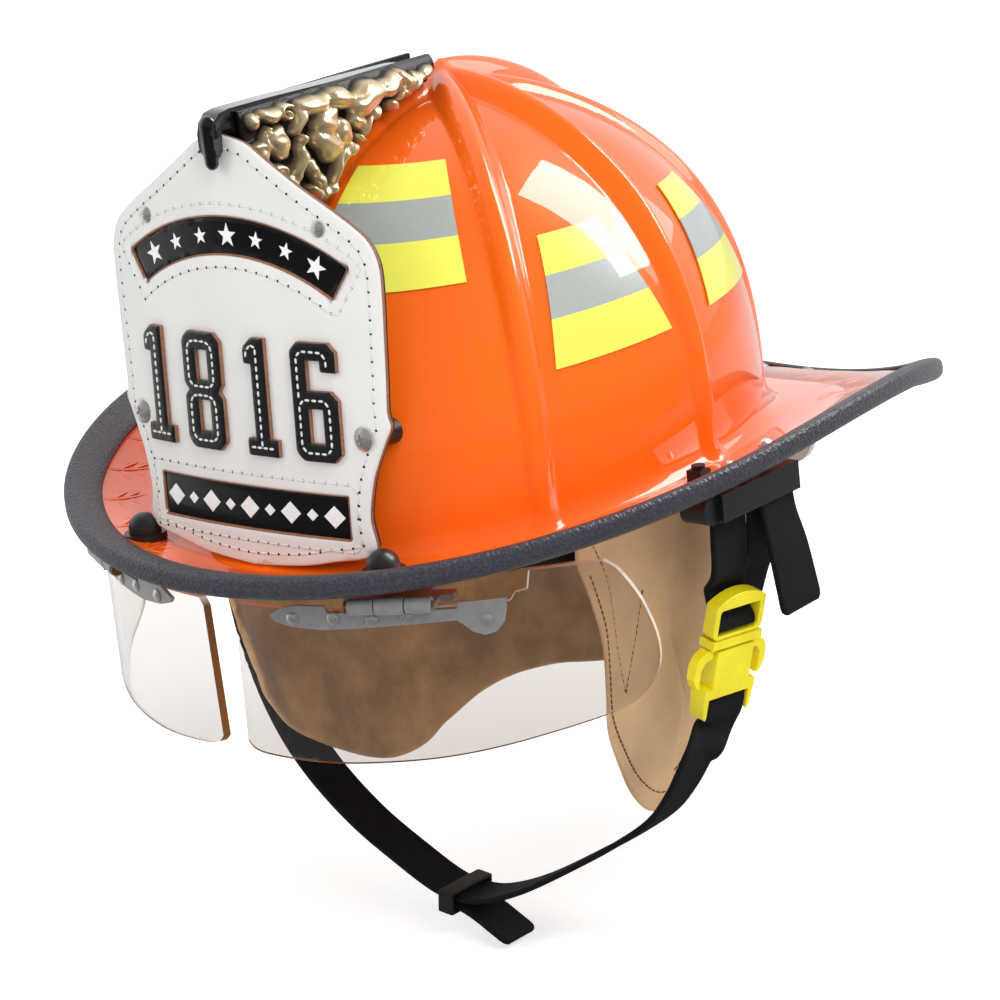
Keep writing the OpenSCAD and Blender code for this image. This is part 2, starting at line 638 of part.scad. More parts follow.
module hinge_pin() {
    color([0.7, 0.7, 0.72]) translate([-15.6, hinge_y, hinge_z]) rotate([0, 90, 0]) {
        cylinder(r = pin_d / 2, h = 30.4);
        cylinder(r = pin_d / 2 + 0.8, h = 1.1);
    }
}
module lens_left() {
    on_lens() lens_shape();
}
module lens_right() {
    mirror([1, 0, 0]) on_lens() lens_shape();
}
module lens_plate_left() {
    on_lens() lens_plate();
}
module lens_plate_right() {
    mirror([1, 0, 0]) on_lens() lens_plate();
}
module lens_rivets_left() {
    on_lens() lens_rivets();
}
module lens_rivets_right() {
    mirror([1, 0, 0]) on_lens() lens_rivets();
}
module lens_bracket_left() {
    on_lens() lens_bracket();
}
module lens_bracket_right() {
    mirror([1, 0, 0]) on_lens() lens_bracket();
}
module hinge_pin_left() {
    on_lens() hinge_pin();
}
module hinge_pin_right() {
    mirror([1, 0, 0]) on_lens() hinge_pin();
}

// black box under the brim that holds the upper straps
module strap_anchor() {
    color([0.07, 0.07, 0.08]) difference() {
        union() {
            translate([anchor_x, -20, -25]) cube([12.5, 44, 10]);
            translate([anchor_x, -23, -20]) rotate([0, 90, 0]) cylinder(r = 5, h = 10.5);
        }
        for (b = bolt_at) translate([b[0], b[1], -18.7]) cylinder(r = 2.35, h = 20);
        translate([nut_at[0], nut_at[1], -16]) cylinder(r = 2.55, h = 20);
        translate([anchor_x + 3.3, 1.9, -27]) cube([3.6, web_w + 1.2, 8]);
        translate([anchor_x + 7.7, 2.6, -27]) cube([3.6, web_w + 1.2, 8]);
        translate([anchor_x + 3.3, -18.6, -27]) cube([3.6, web_w + 1.2, 8]);
    }
}
module strap_anchor_left() {
    strap_anchor();
}
module strap_anchor_right() {
    mirror([1, 0, 0]) strap_anchor();
}

// the buckle's frame: X outward, Y along its width to the rear, Z up the strap
function rot_z(a, v) = [v[0] * cos(a) - v[1] * sin(a), v[0] * sin(a) + v[1] * cos(a), v[2]];
function rot_x(a, v) = [v[0], v[1] * cos(a) - v[2] * sin(a), v[1] * sin(a) + v[2] * cos(a)];
function rot_y(a, v) = [v[0] * cos(a) + v[2] * sin(a), v[1], v[2] * cos(a) - v[0] * sin(a)];
function bk(v) = buckle_pos + rot_z(-buckle_turn, rot_y(buckle_tilt, rot_x(-buckle_lean, v)));
bk_w = bk([0, 1, 0]) - buckle_pos;
module at_buckle() {
    translate(buckle_pos) rotate([0, buckle_tilt, -buckle_turn]) rotate([-buckle_lean, 0, 0]) children();
}
// flat outline in the buckle's Y and Z, given a thickness
module buckle_plate(t) {
    rotate([90, 0, 90]) translate([0, 0, -t / 2]) linear_extrude(t) children();
}

// webbing rows: point and direction of its width
across = [0, 1, 0];
front_rows = curve([concat([anchor_x + 5.1, -8.5, -20.6], across), concat([anchor_x + 4.6, -8.6, -33], across),
    concat([120.7, -7.2, -45], across), concat(bk([-5.6, -1.2, 27]), bk_w), concat(bk([-4.9, -0.5, 22]), bk_w),
    concat(bk([-2.2, 0, 17.4]), bk_w), concat(bk([0.7, 0, 14.6]), bk_w), concat(bk([1.1, 0, 12.4]), bk_w)], 3);
rear_rows = curve([concat([anchor_x + 5.1, 12, -20.6], across), concat([anchor_x + 4.3, 12.3, -33], across),
    concat([119.4, 13.4, -45], across), concat(bk([-8.8, 14.5, 26]), bk_w), concat(bk([-8.4, 12, 15]), bk_w),
    concat(bk([-7.8, 9, 8]), bk_w)], 4);
tail_rows = curve([concat([anchor_x + 9.5, 12.7, -20.6], across), concat([anchor_x + 9.9, 13.6, -32], across),
    [129.3, 15.6, -44, 0.1, 1, -0.1], [129.9, 17.4, -55.5, 0.15, 1, -0.15],
    [130.6, 18.9, -67, 0.2, 1, -0.2]], 4);
chin_line = [[106.2, -15.6, -114], [101.4, -20.5, -125.5], [92.5, -22, -136.5], [76.2, -22, -148],
    [54.6, -22, -160.8], [30.7, -22, -173.8], [13, -22, -181], [0, -22, -183.6], [-14, -22, -181.8],
    [-32, -22, -173.5], [-54, -22, -161], [-75, -21.5, -144], [-91, -20, -125], [-104, -17, -101],
    [-114, -13, -68], [-anchor_x - 3.1, -9.6, -38], [-anchor_x - 5.1, -8.5, -20.6]];
low_rows = curve(concat([for (p = [[1.8, 0, -14.4], [1.9, 0, -21], [0.8, -1.8, -27.5]]) concat(bk(p), bk_w)],
    [for (p = chin_line) concat(p, across)]), 3);
loose_rows = curve([for (p = [[-10, -22, -186.2], [-3, -22, -187.2], [4, -22, -189.8], [11, -22, -193.4],
    [18.6, -22, -197.4]]) concat(p, across)], 3);

module upper_strap_front() {
    color([0.05, 0.05, 0.05]) ribbon(front_rows, web_w, web_t);
}
module upper_strap_rear() {
    color([0.05, 0.05, 0.05]) ribbon(rear_rows, web_w, web_t);
}
module strap_tail() {
    color([0.05, 0.05, 0.05]) ribbon(tail_rows, web_w, web_t);
}
module lower_strap() {
    color([0.05, 0.05, 0.05]) ribbon(low_rows, web_w, web_t);
}
module loose_end() {
    color([0.05, 0.05, 0.05]) ribbon(loose_rows, web_w - 1, web_t);
}
module strap_keeper() {
    color([0.06, 0.06, 0.06]) translate([-7, -22, -184.6]) rotate([0, 7, 0]) difference() {
        cube([7, web_w + 4.4, 8.8], center = true);
        cube([9, web_w + 1, 6.4], center = true);
    }
}

seam_z = 9.6;
module buckle_plug() {
    color([0.93, 0.86, 0.1]) at_buckle() {
        buckle_plate(buckle_t - 1.4) difference() {
            intersection() {
                translate([0, seam_z + 0.1 + 8.4]) rrect(24.4, 16.8, 3);
                translate([0, 4.5]) circle(22, $fn = 96);
            }
            translate([0, seam_z + 6.4]) rrect(web_w + 0.6, 10, 1.2);
        }
        buckle_plate(3.2) translate([-4.1, -8]) square([8.2, seam_z + 8.6]);
    }
}
prong_2d = [[9.5, 5.8], [12.6, 5.8], [16, 3.8], [17.5, 0.6], [17.5, -4.8], [15.6, -8.4], [13.6, -8.8],
    [14.3, -5.6], [14.5, -1.2], [12.8, 1.6], [9.5, 2.4]];
module prong(s) {
    k = buckle_w / 35;
    n = len(prong_2d) - 1;
    color([0.93, 0.86, 0.1]) at_buckle() buckle_plate(buckle_t - 2.6)
        polygon([for (i = [0:n]) let (p = prong_2d[s > 0 ? i : n - i])
            [s * p[0] * (p[0] > 13 ? k : 1), p[1]]]);
}
module prong_front() {
    prong(-1);
}
module prong_rear() {
    prong(1);
}
leg_in = web_w / 2 + 0.3;
module buckle_body() {
    color([0.93, 0.86, 0.1]) at_buckle() {
        difference() {
            union() {
                buckle_plate(buckle_t) {
                    translate([-12, 6.4]) square([24, seam_z - 6.5]);
                    translate([-8.9, -13.3]) square([17.8, seam_z + 9]);
                    translate([-leg_in - 2.5, -13.3]) square([2 * leg_in + 5, 3.9]);
                    for (s = [0, 1]) mirror([s, 0]) polygon([[leg_in + 2.5, -10], [leg_in, -10],
                        [leg_in, -20.4], [leg_in + 0.6, -21.4], [leg_in + 1.6, -20]]);
                }
                translate([-1.3, -leg_in - 0.5, -17.4]) rotate([-90, 0, 0])
                    cylinder(r = 1.2, h = 2 * leg_in + 1);
            }
            translate([-1.9, -4.4, -11]) cube([3.8, 8.8, 30]);
        }
    }
}

// rigid foam cap between shell and head
module impact_liner() {
    liner_t = 9;
    cols = 36;
    up = [12, 20, 29, 38, 47, 56, 65, 74, 83];
    function pt(j, a, d) = dome_pt(j * 360 / cols, a, -shell_t - 1 - d);
    outer = [for (a = up, j = [0:cols - 1]) pt(j, a, 0)];
    inner = [for (i = [len(up) - 1:-1:0], j = [0:cols - 1]) pt(j, up[i], liner_t)];
    // bottom ring first, so the walls close through the lower edge
    rings = concat([for (i = [len(up) - 1:-1:0], j = [0:cols - 1]) pt(j, up[i], 0)],
        [for (a = up, j = [0:cols - 1]) pt(j, a, liner_t)]);
    m = 2 * len(up);
    apex = len(rings);
    color([0.25, 0.25, 0.25]) polyhedron(
        concat(rings, [dome_pt(0, 90, -shell_t - 1), dome_pt(0, 90, -shell_t - 1 - liner_t)]),
        concat([for (r = [0:m - 2]) each ring_faces(r, cols, false)],
            [for (j = [0:cols - 1]) each [[apex, (j + 1) % cols, j],
                [apex + 1, (m - 1) * cols + j, (m - 1) * cols + (j + 1) % cols]]]));
}

// crown strap k lies in its own upright plane and crosses over the ones below it
strap_ang = [30, 90, 150];
strap_step = 2.6;
crown_z = -5;
module crown_strap(k) {
    r = crown_r + strap_step * k;
    color([0.1, 0.1, 0.1]) translate([0, 0, crown_z]) rotate([90, 0, strap_ang[k]])
        translate([0, 0, -crown_w / 2]) linear_extrude(crown_w) intersection() {
            difference() {
                circle(r + 1.6, $fn = 120);
                circle(r, $fn = 120);
            }
            translate([-120, 4.8]) square([240, 120]);
        }
}
module crown_strap_1() {
    crown_strap(0);
}
module crown_strap_2() {
    crown_strap(1);
}
module crown_strap_3() {
    crown_strap(2);
}
function band_n(a) = sin(a) > 0 ? 3.2 : 2;
function band_r(a) = pow(pow(abs(cos(a)) / band_half_w, band_n(a)) + pow(abs(sin(a)) / band_half_l, band_n(a)),
    -1 / band_n(a));
function clip_gap(a) = sin(a) > 0.99 ? -5.5 : sin(a) < -0.99 ? 0.35 : sin(a) > 0 ? 1.9 : 1.05;
// the rear tab stands on the ratchet housing, the others reach down the band
function clip_low(a) = sin(a) > 0.99 ? 14.3 : -6;
// point on the outside of the tilted head band, at azimuth a and a height up the band, moved out by o
function band_side(a, h, o) = let (rb = band_r(a))
    [rb * (1 - 0.0075 * sin(a) * sin(a)) + sin(band_dip) * h * sin(a) + clip_gap(a) + o,
        band_z - sin(band_dip) * rb * sin(a) + cos(band_dip) * h];
function clip_top(a) = (-0.3 - band_z + sin(band_dip) * band_r(a) * sin(a)) / cos(band_dip);
module crown_clip(a, r) {
    top = clip_top(a);
    r_in = min(r - 3.5, band_side(a, top, 0)[0]);
    rotate([90, 0, a]) {
        difference() {
            translate([0, 0, -crown_w / 2 - 3]) linear_extrude(crown_w + 6)
                polygon([[r_in, 8], [r + 9, 8], [r + 9, 2], [r + 5, -1], [r_in, -1]]);
            translate([r - 2, -0.4, -crown_w / 2 - 0.4]) cube([4, 14, crown_w + 0.8]);
        }
        translate([0, 0, -4]) linear_extrude(8) polygon([band_side(a, clip_low(a), 0),
            band_side(a, clip_low(a), 2), band_side(a, top, 2), band_side(a, top, 0)]);
    }
}
module crown_clips() {
    color([0.12, 0.12, 0.13]) for (k = [0:2], e = [0, 180])
        crown_clip(strap_ang[k] + e, crown_r + strap_step * k);
}
module crown_pad() {
    color([0.13, 0.13, 0.13]) translate([0, 0, crown_z]) rotate_extrude($fn = 96) intersection() {
        difference() {
            circle(crown_r - 0.4, $fn = 200);
            circle(crown_r - 4, $fn = 200);
        }
        translate([0, 70]) square([25, 40]);
    }
}

// frame of the head band, dipped towards the nape
module on_band() {
    translate([0, 0, band_z]) rotate([-band_dip, 0, 0]) children();
}
function band_pt(t, off) =
    let (e = sin(t) < 0 ? 1 : 2 / 3.2)
    [(band_half_w + off) * sp(cos(t), e), (band_half_l + off) * sp(sin(t), e)];
module band_arc(t0, t1, n, out, inner, h) {
    translate([0, 0, -h / 2]) linear_extrude(h) polygon(concat(
        [for (i = [0:n]) band_pt(t0 + (t1 - t0) * i / n, out)],
        [for (i = [n:-1:0]) band_pt(t0 + (t1 - t0) * i / n, inner)]));
}
module headband() {
    color([0.1, 0.1, 0.1]) on_band() band_arc(-256.5, 76.5, 88, 0, -band_t, band_h);
}
module brow_pad() {
    color([0.35, 0.24, 0.15]) on_band() band_arc(-150, -30, 36, -band_t - 0.4, -band_t - 4.6, band_h + 3);
}
rack_y = band_half_l - 9.6;
module ratchet_housing() {
    color([0.12, 0.12, 0.12]) on_band() difference() {
        translate([0, band_half_l + 1, 0]) rotate([90, 0, 0]) linear_extrude(12.8) rrect(60, 27, 5);
        translate([-40, rack_y - 0.3, -8.4]) cube([80, 2.3, 16.8]);
        translate([0, rack_y, 0]) rotate([-90, 0, 0]) cylinder(r = 3.27, h = 14);
    }
}
module ratchet_knob() {
    color([0.08, 0.08, 0.08]) on_band() {
        difference() {
            translate([0, band_half_l + 1.4, 0]) rotate([-90, 0, 0]) cylinder(r = knob_d / 2, h = 9.6);
            for (i = [0:11]) rotate([0, i * 30, 0]) translate([knob_d / 2 + 1.2, band_half_l + 2.8, 0])
                rotate([-90, 0, 0]) cylinder(r = 2.8, h = 12);
        }
        translate([0, rack_y + 0.1, 0]) rotate([-90, 0, 0]) cylinder(r = 3.2, h = 12);
        for (i = [0:7]) rotate([0, i * 45, 0]) translate([-0.55, rack_y + 0.1, 2.6]) cube([1.1, 1.5, 2.1]);
    }
}
// toothed strip; its teeth face the pinion
module rack() {
    pitch = PI * pinion_r / 4;
    translate([-9, rack_y, pinion_r + 1]) cube([53, 1.6, 3]);
    for (i = [-2:8]) translate([(i + 0.5) * pitch - 0.5, rack_y, pinion_r - 0.7]) cube([1, 1.6, 2]);
}
module rack_left() {
    color([0.15, 0.15, 0.16]) on_band() rack();
}
module rack_right() {
    color([0.15, 0.15, 0.16]) on_band() rotate([0, 180, 0]) rack();
}
module nape_pad() {
    color([0.3, 0.22, 0.15]) on_band() translate([0, band_half_l - 12.1, -4]) rotate([90, 0, 0])
        linear_extrude(4.4) rrect(64, 30, 7);
}

// hanging cloth round sides and back; t runs from the left front end round the rear
lap_low = [[-30, -38], [-26.5, -56], [-23.5, -74], [-22, -92], [-20, -111], [-14.5, -128], [-7, -143],
    [1, -152], [6, -148], [12, -135], [20, -128], [32, -126], [60, -128], [90, -131], [113, -134], [135, -137],
    [145, -140.5], [156, -149], [162, -154.5], [169, -156.5], [176, -154.5], [186, -147.5], [197, -137],
    [205, -126.5], [211, -115], [220, -100], [229, -87], [236, -66]];
function lap_pt(t, v, off) =
    let (up = -13.5 - 12 * pow(max(sin(t), 0), 2), z = up + (lookup(t, lap_low) - up) * v,
        d = max(-z - 22, 0),
        q = (0.8 + 0.2 * cos(t)) * (0.0014 * d + 0.0000125 * d * d),
        r = 1.7 * sin(9 * t + 20) * min(d / 60, 1) + off,
        b = band_half_l + (sin(t) < 0 ? 7 : 16))
    [((band_half_w + 19) * (1 - q) + r) * cos(t), 8 + (b * (1 - 0.8 * q) + r) * sin(t), z];
module earlap() {
    rows = 10;
    cols = 53;
    function grid(off) = [for (i = [0:rows - 1], j = [0:cols - 1])
        lap_pt(-30 + 265 * j / (cols - 1), 1 - pow(1 - i / (rows - 1), 1.2), off)];
    color([0.66, 0.47, 0.27]) sheet(grid(-1.5), grid(1.5), rows, cols);
}

hang_at = [190, -49.4];
module hanger_bracket() {
    color([0.55, 0.55, 0.57]) {
        translate([0, hang_at[0], -42.2]) rotate([-20.5, 0, 0]) {
            difference() {
                translate([-15, -7, -0.9]) cube([30, 14, 1.8]);
                for (s = [-1, 1]) translate([s * 11.5, 0, -2]) cylinder(r = 1.5, h = 5);
            }
            for (s = [-1, 1]) translate([s * 11.5, 0, 0]) {
                translate([0, 0, -1.9]) cylinder(r = 1.5, h = 7);
                translate([0, 0, -2.2]) cylinder(r = 2.8, h = 1.3);
                translate([0, 0, 4.2]) rotate_extrude() intersection() {
                    translate([0, -2.4]) circle(4);
                    square([3.2, 2]);
                }
            }
        }
        for (s = [-1, 1]) translate([s * 7 - 1, hang_at[0] - 3, hang_at[1] - 3]) cube([2, 6, 10]);
        translate([-8.6, hang_at[0], hang_at[1]]) rotate([0, 90, 0]) cylinder(r = 1.5, h = 17.2);
    }
}
module hanger_ring() {
    color([0.65, 0.65, 0.67]) difference() {
        union() {
            translate([-5.6, hang_at[0], hang_at[1]]) rotate([0, 90, 0]) cylinder(r = 2.9, h = 11.2);
            translate([0, hang_at[0], hang_at[1] - ring_r - 6.2]) rotate([90, 0, 0])
                cylinder(r = ring_r + 2 * ring_wire, h = 2 * ring_wire, center = true);
            translate([-3, hang_at[0] - ring_wire, hang_at[1] - 5.4]) cube([6, 2 * ring_wire, 4.4]);
        }
        translate([-8, hang_at[0], hang_at[1]]) rotate([0, 90, 0]) cylinder(r = 1.57, h = 16);
        translate([0, hang_at[0], hang_at[1] - ring_r - 6.2]) rotate([90, 0, 0])
            cylinder(r = ring_r, h = 12, center = true, $fn = 64);
    }
}

outer_shell();
edge_trim();
front_holder();
crest_relief();
leather_backing();
leather_face();
upper_inlay();
lower_inlay();
number_1();
number_2();
number_3();
number_4();
front_rivets();
front_screws();
front_spacers();
reflective_front();
reflective_side();
reflective_rear();
reflective_back();
brim_knobs();
anchor_bolts();
anchor_nuts();
lens_bracket_left();
lens_bracket_right();
hinge_pin_left();
hinge_pin_right();
lens_plate_left();
lens_plate_right();
lens_left();
lens_right();
lens_rivets_left();
lens_rivets_right();
strap_anchor_left();
strap_anchor_right();
upper_strap_front();
upper_strap_rear();
strap_tail();
buckle_plug();
prong_front();
prong_rear();
buckle_body();
lower_strap();
strap_keeper();
loose_end();
impact_liner();
crown_strap_1();
crown_strap_2();
crown_strap_3();
crown_clips();
crown_pad();
headband();
brow_pad();
ratchet_housing();
ratchet_knob();
rack_left();
rack_right();
nape_pad();
earlap();
hanger_bracket();
hanger_ring();
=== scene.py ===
"""Looks of the fire helmet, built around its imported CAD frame.

The front faces -Y, the wearer's left is +X and up is +Z. Shapes are worked out in
millimetres with numpy and put into meshes in metres.
"""

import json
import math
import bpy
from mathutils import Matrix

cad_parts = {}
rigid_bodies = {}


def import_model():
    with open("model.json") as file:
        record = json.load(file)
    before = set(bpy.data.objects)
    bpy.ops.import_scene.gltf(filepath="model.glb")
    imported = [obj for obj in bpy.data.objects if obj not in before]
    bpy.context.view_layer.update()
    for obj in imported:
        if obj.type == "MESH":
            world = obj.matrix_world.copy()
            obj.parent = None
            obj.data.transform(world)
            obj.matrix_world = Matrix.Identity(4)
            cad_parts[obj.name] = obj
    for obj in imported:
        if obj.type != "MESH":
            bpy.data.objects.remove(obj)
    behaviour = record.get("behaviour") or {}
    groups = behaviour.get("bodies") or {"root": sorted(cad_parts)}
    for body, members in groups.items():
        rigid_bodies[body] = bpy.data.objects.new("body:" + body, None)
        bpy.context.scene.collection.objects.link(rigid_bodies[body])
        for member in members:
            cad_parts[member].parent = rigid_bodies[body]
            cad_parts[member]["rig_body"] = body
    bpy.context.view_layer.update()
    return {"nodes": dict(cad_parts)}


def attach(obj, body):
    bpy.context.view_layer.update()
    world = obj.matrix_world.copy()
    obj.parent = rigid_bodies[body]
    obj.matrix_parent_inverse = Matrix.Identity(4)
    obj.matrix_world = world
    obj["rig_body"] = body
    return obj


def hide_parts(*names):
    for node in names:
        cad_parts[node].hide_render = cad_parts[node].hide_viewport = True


bl_info = {
    "name": "Fire helmet",
    "version": (1, 0, 0),
    "blender": (4, 5, 0),
    "location": "View3D > Sidebar > Helmet",
    "description": "Dresses the packed frame of a fire helmet with its shell, leather, cloth and hardware",
    "category": "Object",
}

import bmesh
import bpy
import numpy as np
from mathutils import Matrix, Vector
from mathutils.geometry import delaunay_2d_cdt

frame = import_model()
MM = 0.001


def linear(code):
    """sRGB hex to linear RGBA: the standard curve, with its straight toe below 0.04045."""
    c = np.array([int(code[i : i + 2], 16) for i in (1, 3, 5)]) / 255
    return (*np.where(c <= 0.04045, c / 12.92, ((c + 0.055) / 1.055) ** 2.4), 1.0)


# Sizes and places in mm and degrees, the same values as in the part's source: the brim's plan, the
# dome's plan at its foot, the dome's height and powers with the shell's wall, the dome's ellipsoid, the
# ribs, the leather front, the eye shields, the head band, the crown straps, the webbing and the buckle

BRIM_HALF_W, BRIM_FRONT, BRIM_REAR, BRIM_YC, BRIM_NF, BRIM_NR = 150, 157, 207.5, 8.5, 2.0, 1.9
DOME_HALF_W, DOME_FRONT, DOME_REAR, DOME_N, DOME_YC = 110, 107.8, 112, 1.95, -2.4
HUB_H, HUB_Y, DOME_PLAN, DOME_RISE, SHELL_T = 116.6, 5.7, 1.14, 0.727, 2.6
DOME_AXES_SQUARED, DOME_MID_Z = (12100, 12400, 18800), -22
RIB_AT = np.array([-90, -35.5, 2, 46, 90, 134, 178, 215.5])
RIB_H = np.array([3.5, 5.5, 6.5, 3.5, 8.6, 3.5, 6.5, 5.5])
RIB_HALF_W = 5.2
# the shell's edge lies this far inside the outline of brim and trim
EDGE_INSET = 2.6
FRONT_BOW, FRONT_LEAN, FRONT_Y, FRONT_Z = 312, 3.3, -115.8, -25.8
BACKING_T, FACE_T = 1.6, 2.2
LENS_R, LENS_T, LENS_TURN = 139, 2.4, 28.3
BAND_HALF_W, BAND_HALF_L, BAND_T, BAND_DIP, BAND_Z = 79, 98, 2.2, 7, -30
CROWN_R, CROWN_W, CROWN_Z, STRAP_STEP = 89.5, 20, -5, 2.6
WEB_W, WEB_T = 19, 2.2
BUCKLE_POS = np.array([114.2, -4.7, -80.2])


def signed_power(v, e):
    """Power of the size with the sign kept, for rounded plan lines."""
    return np.sign(v) * np.abs(v) ** e


def cosd(a):
    return np.cos(np.radians(a))


def sind(a):
    return np.sin(np.radians(a))


def unit(v):
    """Vectors cut to length 1, along the last axis."""
    return v / np.maximum(np.linalg.norm(v, axis=-1, keepdims=True), 1e-9)


def stack(*parts):
    """Arrays brought to one shape and set side by side along a new last axis."""
    return np.stack(np.broadcast_arrays(*parts), axis=-1)


def rim_z(x, y):
    """Height of the brim's edge line: a cubic along Y, and a lift of the rear tip that fades to the sides."""
    n = (y - BRIM_YC) / 156
    w = np.maximum(n, 0) / 1.4
    return 10.6 * n - 25 * n**2 - 12.2 * n**3 + 9.6 * w**2 * (1 - np.minimum(np.abs(x) / BRIM_HALF_W, 1) ** 2)


def rim_pt(t):
    """Point of the edge line at azimuth t: two half super-ellipses, front and rear."""
    c, s = cosd(t), sind(t)
    e = np.where(s < 0, 2 / BRIM_NF, 2 / BRIM_NR)
    x = (BRIM_HALF_W - EDGE_INSET) * signed_power(c, e)
    y = (np.where(s < 0, BRIM_FRONT, BRIM_REAR) - EDGE_INSET) * signed_power(s, e) + BRIM_YC
    return stack(x, y, rim_z(x, y))


def foot_pt(t):
    """Point of the dome's foot at azimuth t, on a super-ellipse a little under the edge line."""
    c, s = cosd(t), sind(t)
    y = np.where(s < 0, DOME_FRONT, DOME_REAR) * signed_power(s, 2 / DOME_N) + DOME_YC
    return stack(DOME_HALF_W * signed_power(c, 2 / DOME_N), y, rim_z(BRIM_HALF_W, y) - 11)


def dome_dir(p):
    """Outward direction of the dome: the gradient of the ellipsoid nearest to it."""
    away = stack(p[..., 0], p[..., 1] - DOME_YC, np.maximum(p[..., 2] - DOME_MID_Z, 0))
    return unit(away / DOME_AXES_SQUARED)


def rib(t, a):
    """Height of the ribs at azimuth t and rise a: eight cosine beads that grow with the rise.

    Where beads run together near the crown, the eighth root of the sum of their eighth powers
    rounds the valley between them."""
    t, a = np.broadcast_arrays(np.asarray(t, float), np.asarray(a, float))
    g = np.abs(cosd(a)) ** DOME_PLAN
    k = 0.45 + 0.55 * np.minimum(1, 1.6 * sind(a))
    away = t[..., None] - RIB_AT
    d = np.abs(away - 360 * np.round(away / 360)) * np.pi / 180 * 108 * g[..., None]
    fade = np.where(np.arange(8) == 0, np.clip((a[..., None] - 24) / 13, 0, 1), 1)
    half = (RIB_HALF_W + 1.6 * sind(a))[..., None]
    bead = np.cos(np.pi / 2 * np.minimum(d / half, 1)) ** 1.15
    ridge = RIB_H * k[..., None] * fade * bead
    return np.minimum((ridge**8).sum(-1) ** 0.125, ridge.max(-1) + 0.6)


def dome_pt(t, a, off):
    """Dome point: the plan shrinks with cos(a) and the height grows with sin(a), each to its own power."""
    t, a = np.broadcast_arrays(np.asarray(t, float), np.asarray(a, float))
    f, g, h = foot_pt(t), np.abs(cosd(a)) ** DOME_PLAN, np.abs(sind(a)) ** DOME_RISE
    p = stack(f[..., 0] * g, HUB_Y + (f[..., 1] - HUB_Y) * g, f[..., 2] + (HUB_H - f[..., 2]) * h)
    return p + dome_dir(p) * np.asarray(off)[..., None]


def brim_pt(t, k, drop):
    """Point of the brim's top, k from 0 at the dome to 1 at the edge.

    Its height follows k to the power 1.5."""
    f, r = foot_pt(t), rim_pt(t)
    k = np.asarray(k, float)
    return stack(
        f[..., 0] + (r[..., 0] - f[..., 0]) * k,
        f[..., 1] + (r[..., 1] - f[..., 1]) * k,
        f[..., 2] + (r[..., 2] + SHELL_T / 2 - f[..., 2]) * np.maximum(k, 0) ** 1.5 - drop,
    )


def brim_w(t):
    """Width of the brim at azimuth t, seen from above."""
    return np.linalg.norm((rim_pt(t) - foot_pt(t))[..., :2], axis=-1)


def turned(v, axis, degrees):
    """Points turned about a main axis, 0, 1 or 2."""
    c, s = cosd(degrees), sind(degrees)
    i, j = [(1, 2), (2, 0), (0, 1)][axis]
    out = np.array(v, float)
    out[..., i], out[..., j] = v[..., i] * c - v[..., j] * s, v[..., i] * s + v[..., j] * c
    return out


def on_front(v):
    """From the leather front's own frame to the helmet's: lean about X, then shift."""
    return turned(v, 0, -FRONT_LEAN) + [0, FRONT_Y, FRONT_Z]


def front_pt(x, z, depth):
    """Point of the bowed leather, depth behind its front skin."""
    y = FRONT_BOW - np.sqrt((FRONT_BOW - depth) ** 2 - x**2)
    return on_front(stack(x, y, z))


def on_lens(v, side):
    """From an eye shield's frame to the helmet's; side -1 mirrors it to the right."""
    return (turned(v, 2, LENS_TURN) + [0, 4, 0]) * [side, 1, 1]


def bk(v):
    """From the buckle's frame, X outward, Y to the rear and Z up the strap, to the helmet's."""
    return turned(turned(turned(np.asarray(v, float), 0, -4), 1, 15), 2, -8) + BUCKLE_POS


def on_band(v):
    """From the head band's frame to the helmet's: dipped at the back, then moved down."""
    return turned(np.asarray(v, float), 0, -BAND_DIP) + [0, 0, BAND_Z]


def curve(points, steps):
    """Smooth curve through rows of numbers, a cubic with the given steps for each span."""
    p = np.asarray(points, float)
    q = np.concatenate([p[:1], p, p[-1:]])
    a, b, c, d = (q[i : len(q) - 3 + i, None, :] for i in range(4))
    u = (np.arange(steps) / steps)[None, :, None]
    span = 0.5 * (2 * b + (c - a) * u + (2 * a - 5 * b + 4 * c - d) * u**2 + (3 * b - a - 3 * c + d) * u**3)
    return np.concatenate([span.reshape(-1, p.shape[1]), p[-1:]])


def even(path, step, closed=False):
    """Path with points about one step apart along its length, by linear interpolation."""
    p = np.asarray(path, float)
    if closed:
        p = np.concatenate([p, p[:1]])
    s = np.concatenate([[0], np.cumsum(np.linalg.norm(np.diff(p, axis=0), axis=1))])
    n = max(2, int(round(s[-1] / step)) + 1)
    u = np.linspace(0, s[-1], n)
    out = np.stack([np.interp(u, s, p[:, i]) for i in range(p.shape[1])], -1)
    return out[:-1] if closed else out


def split(loop, step):
    """Closed outline whose sides are divided into equal parts near the step, its corners kept."""
    p = np.asarray(loop, float)
    out = []
    for a, b in zip(p, np.roll(p, -1, 0)):
        n = max(1, int(round(np.linalg.norm(b - a) / step)))
        out += [a + (b - a) * k / n for k in range(n)]
    return np.array(out)


# Meshes


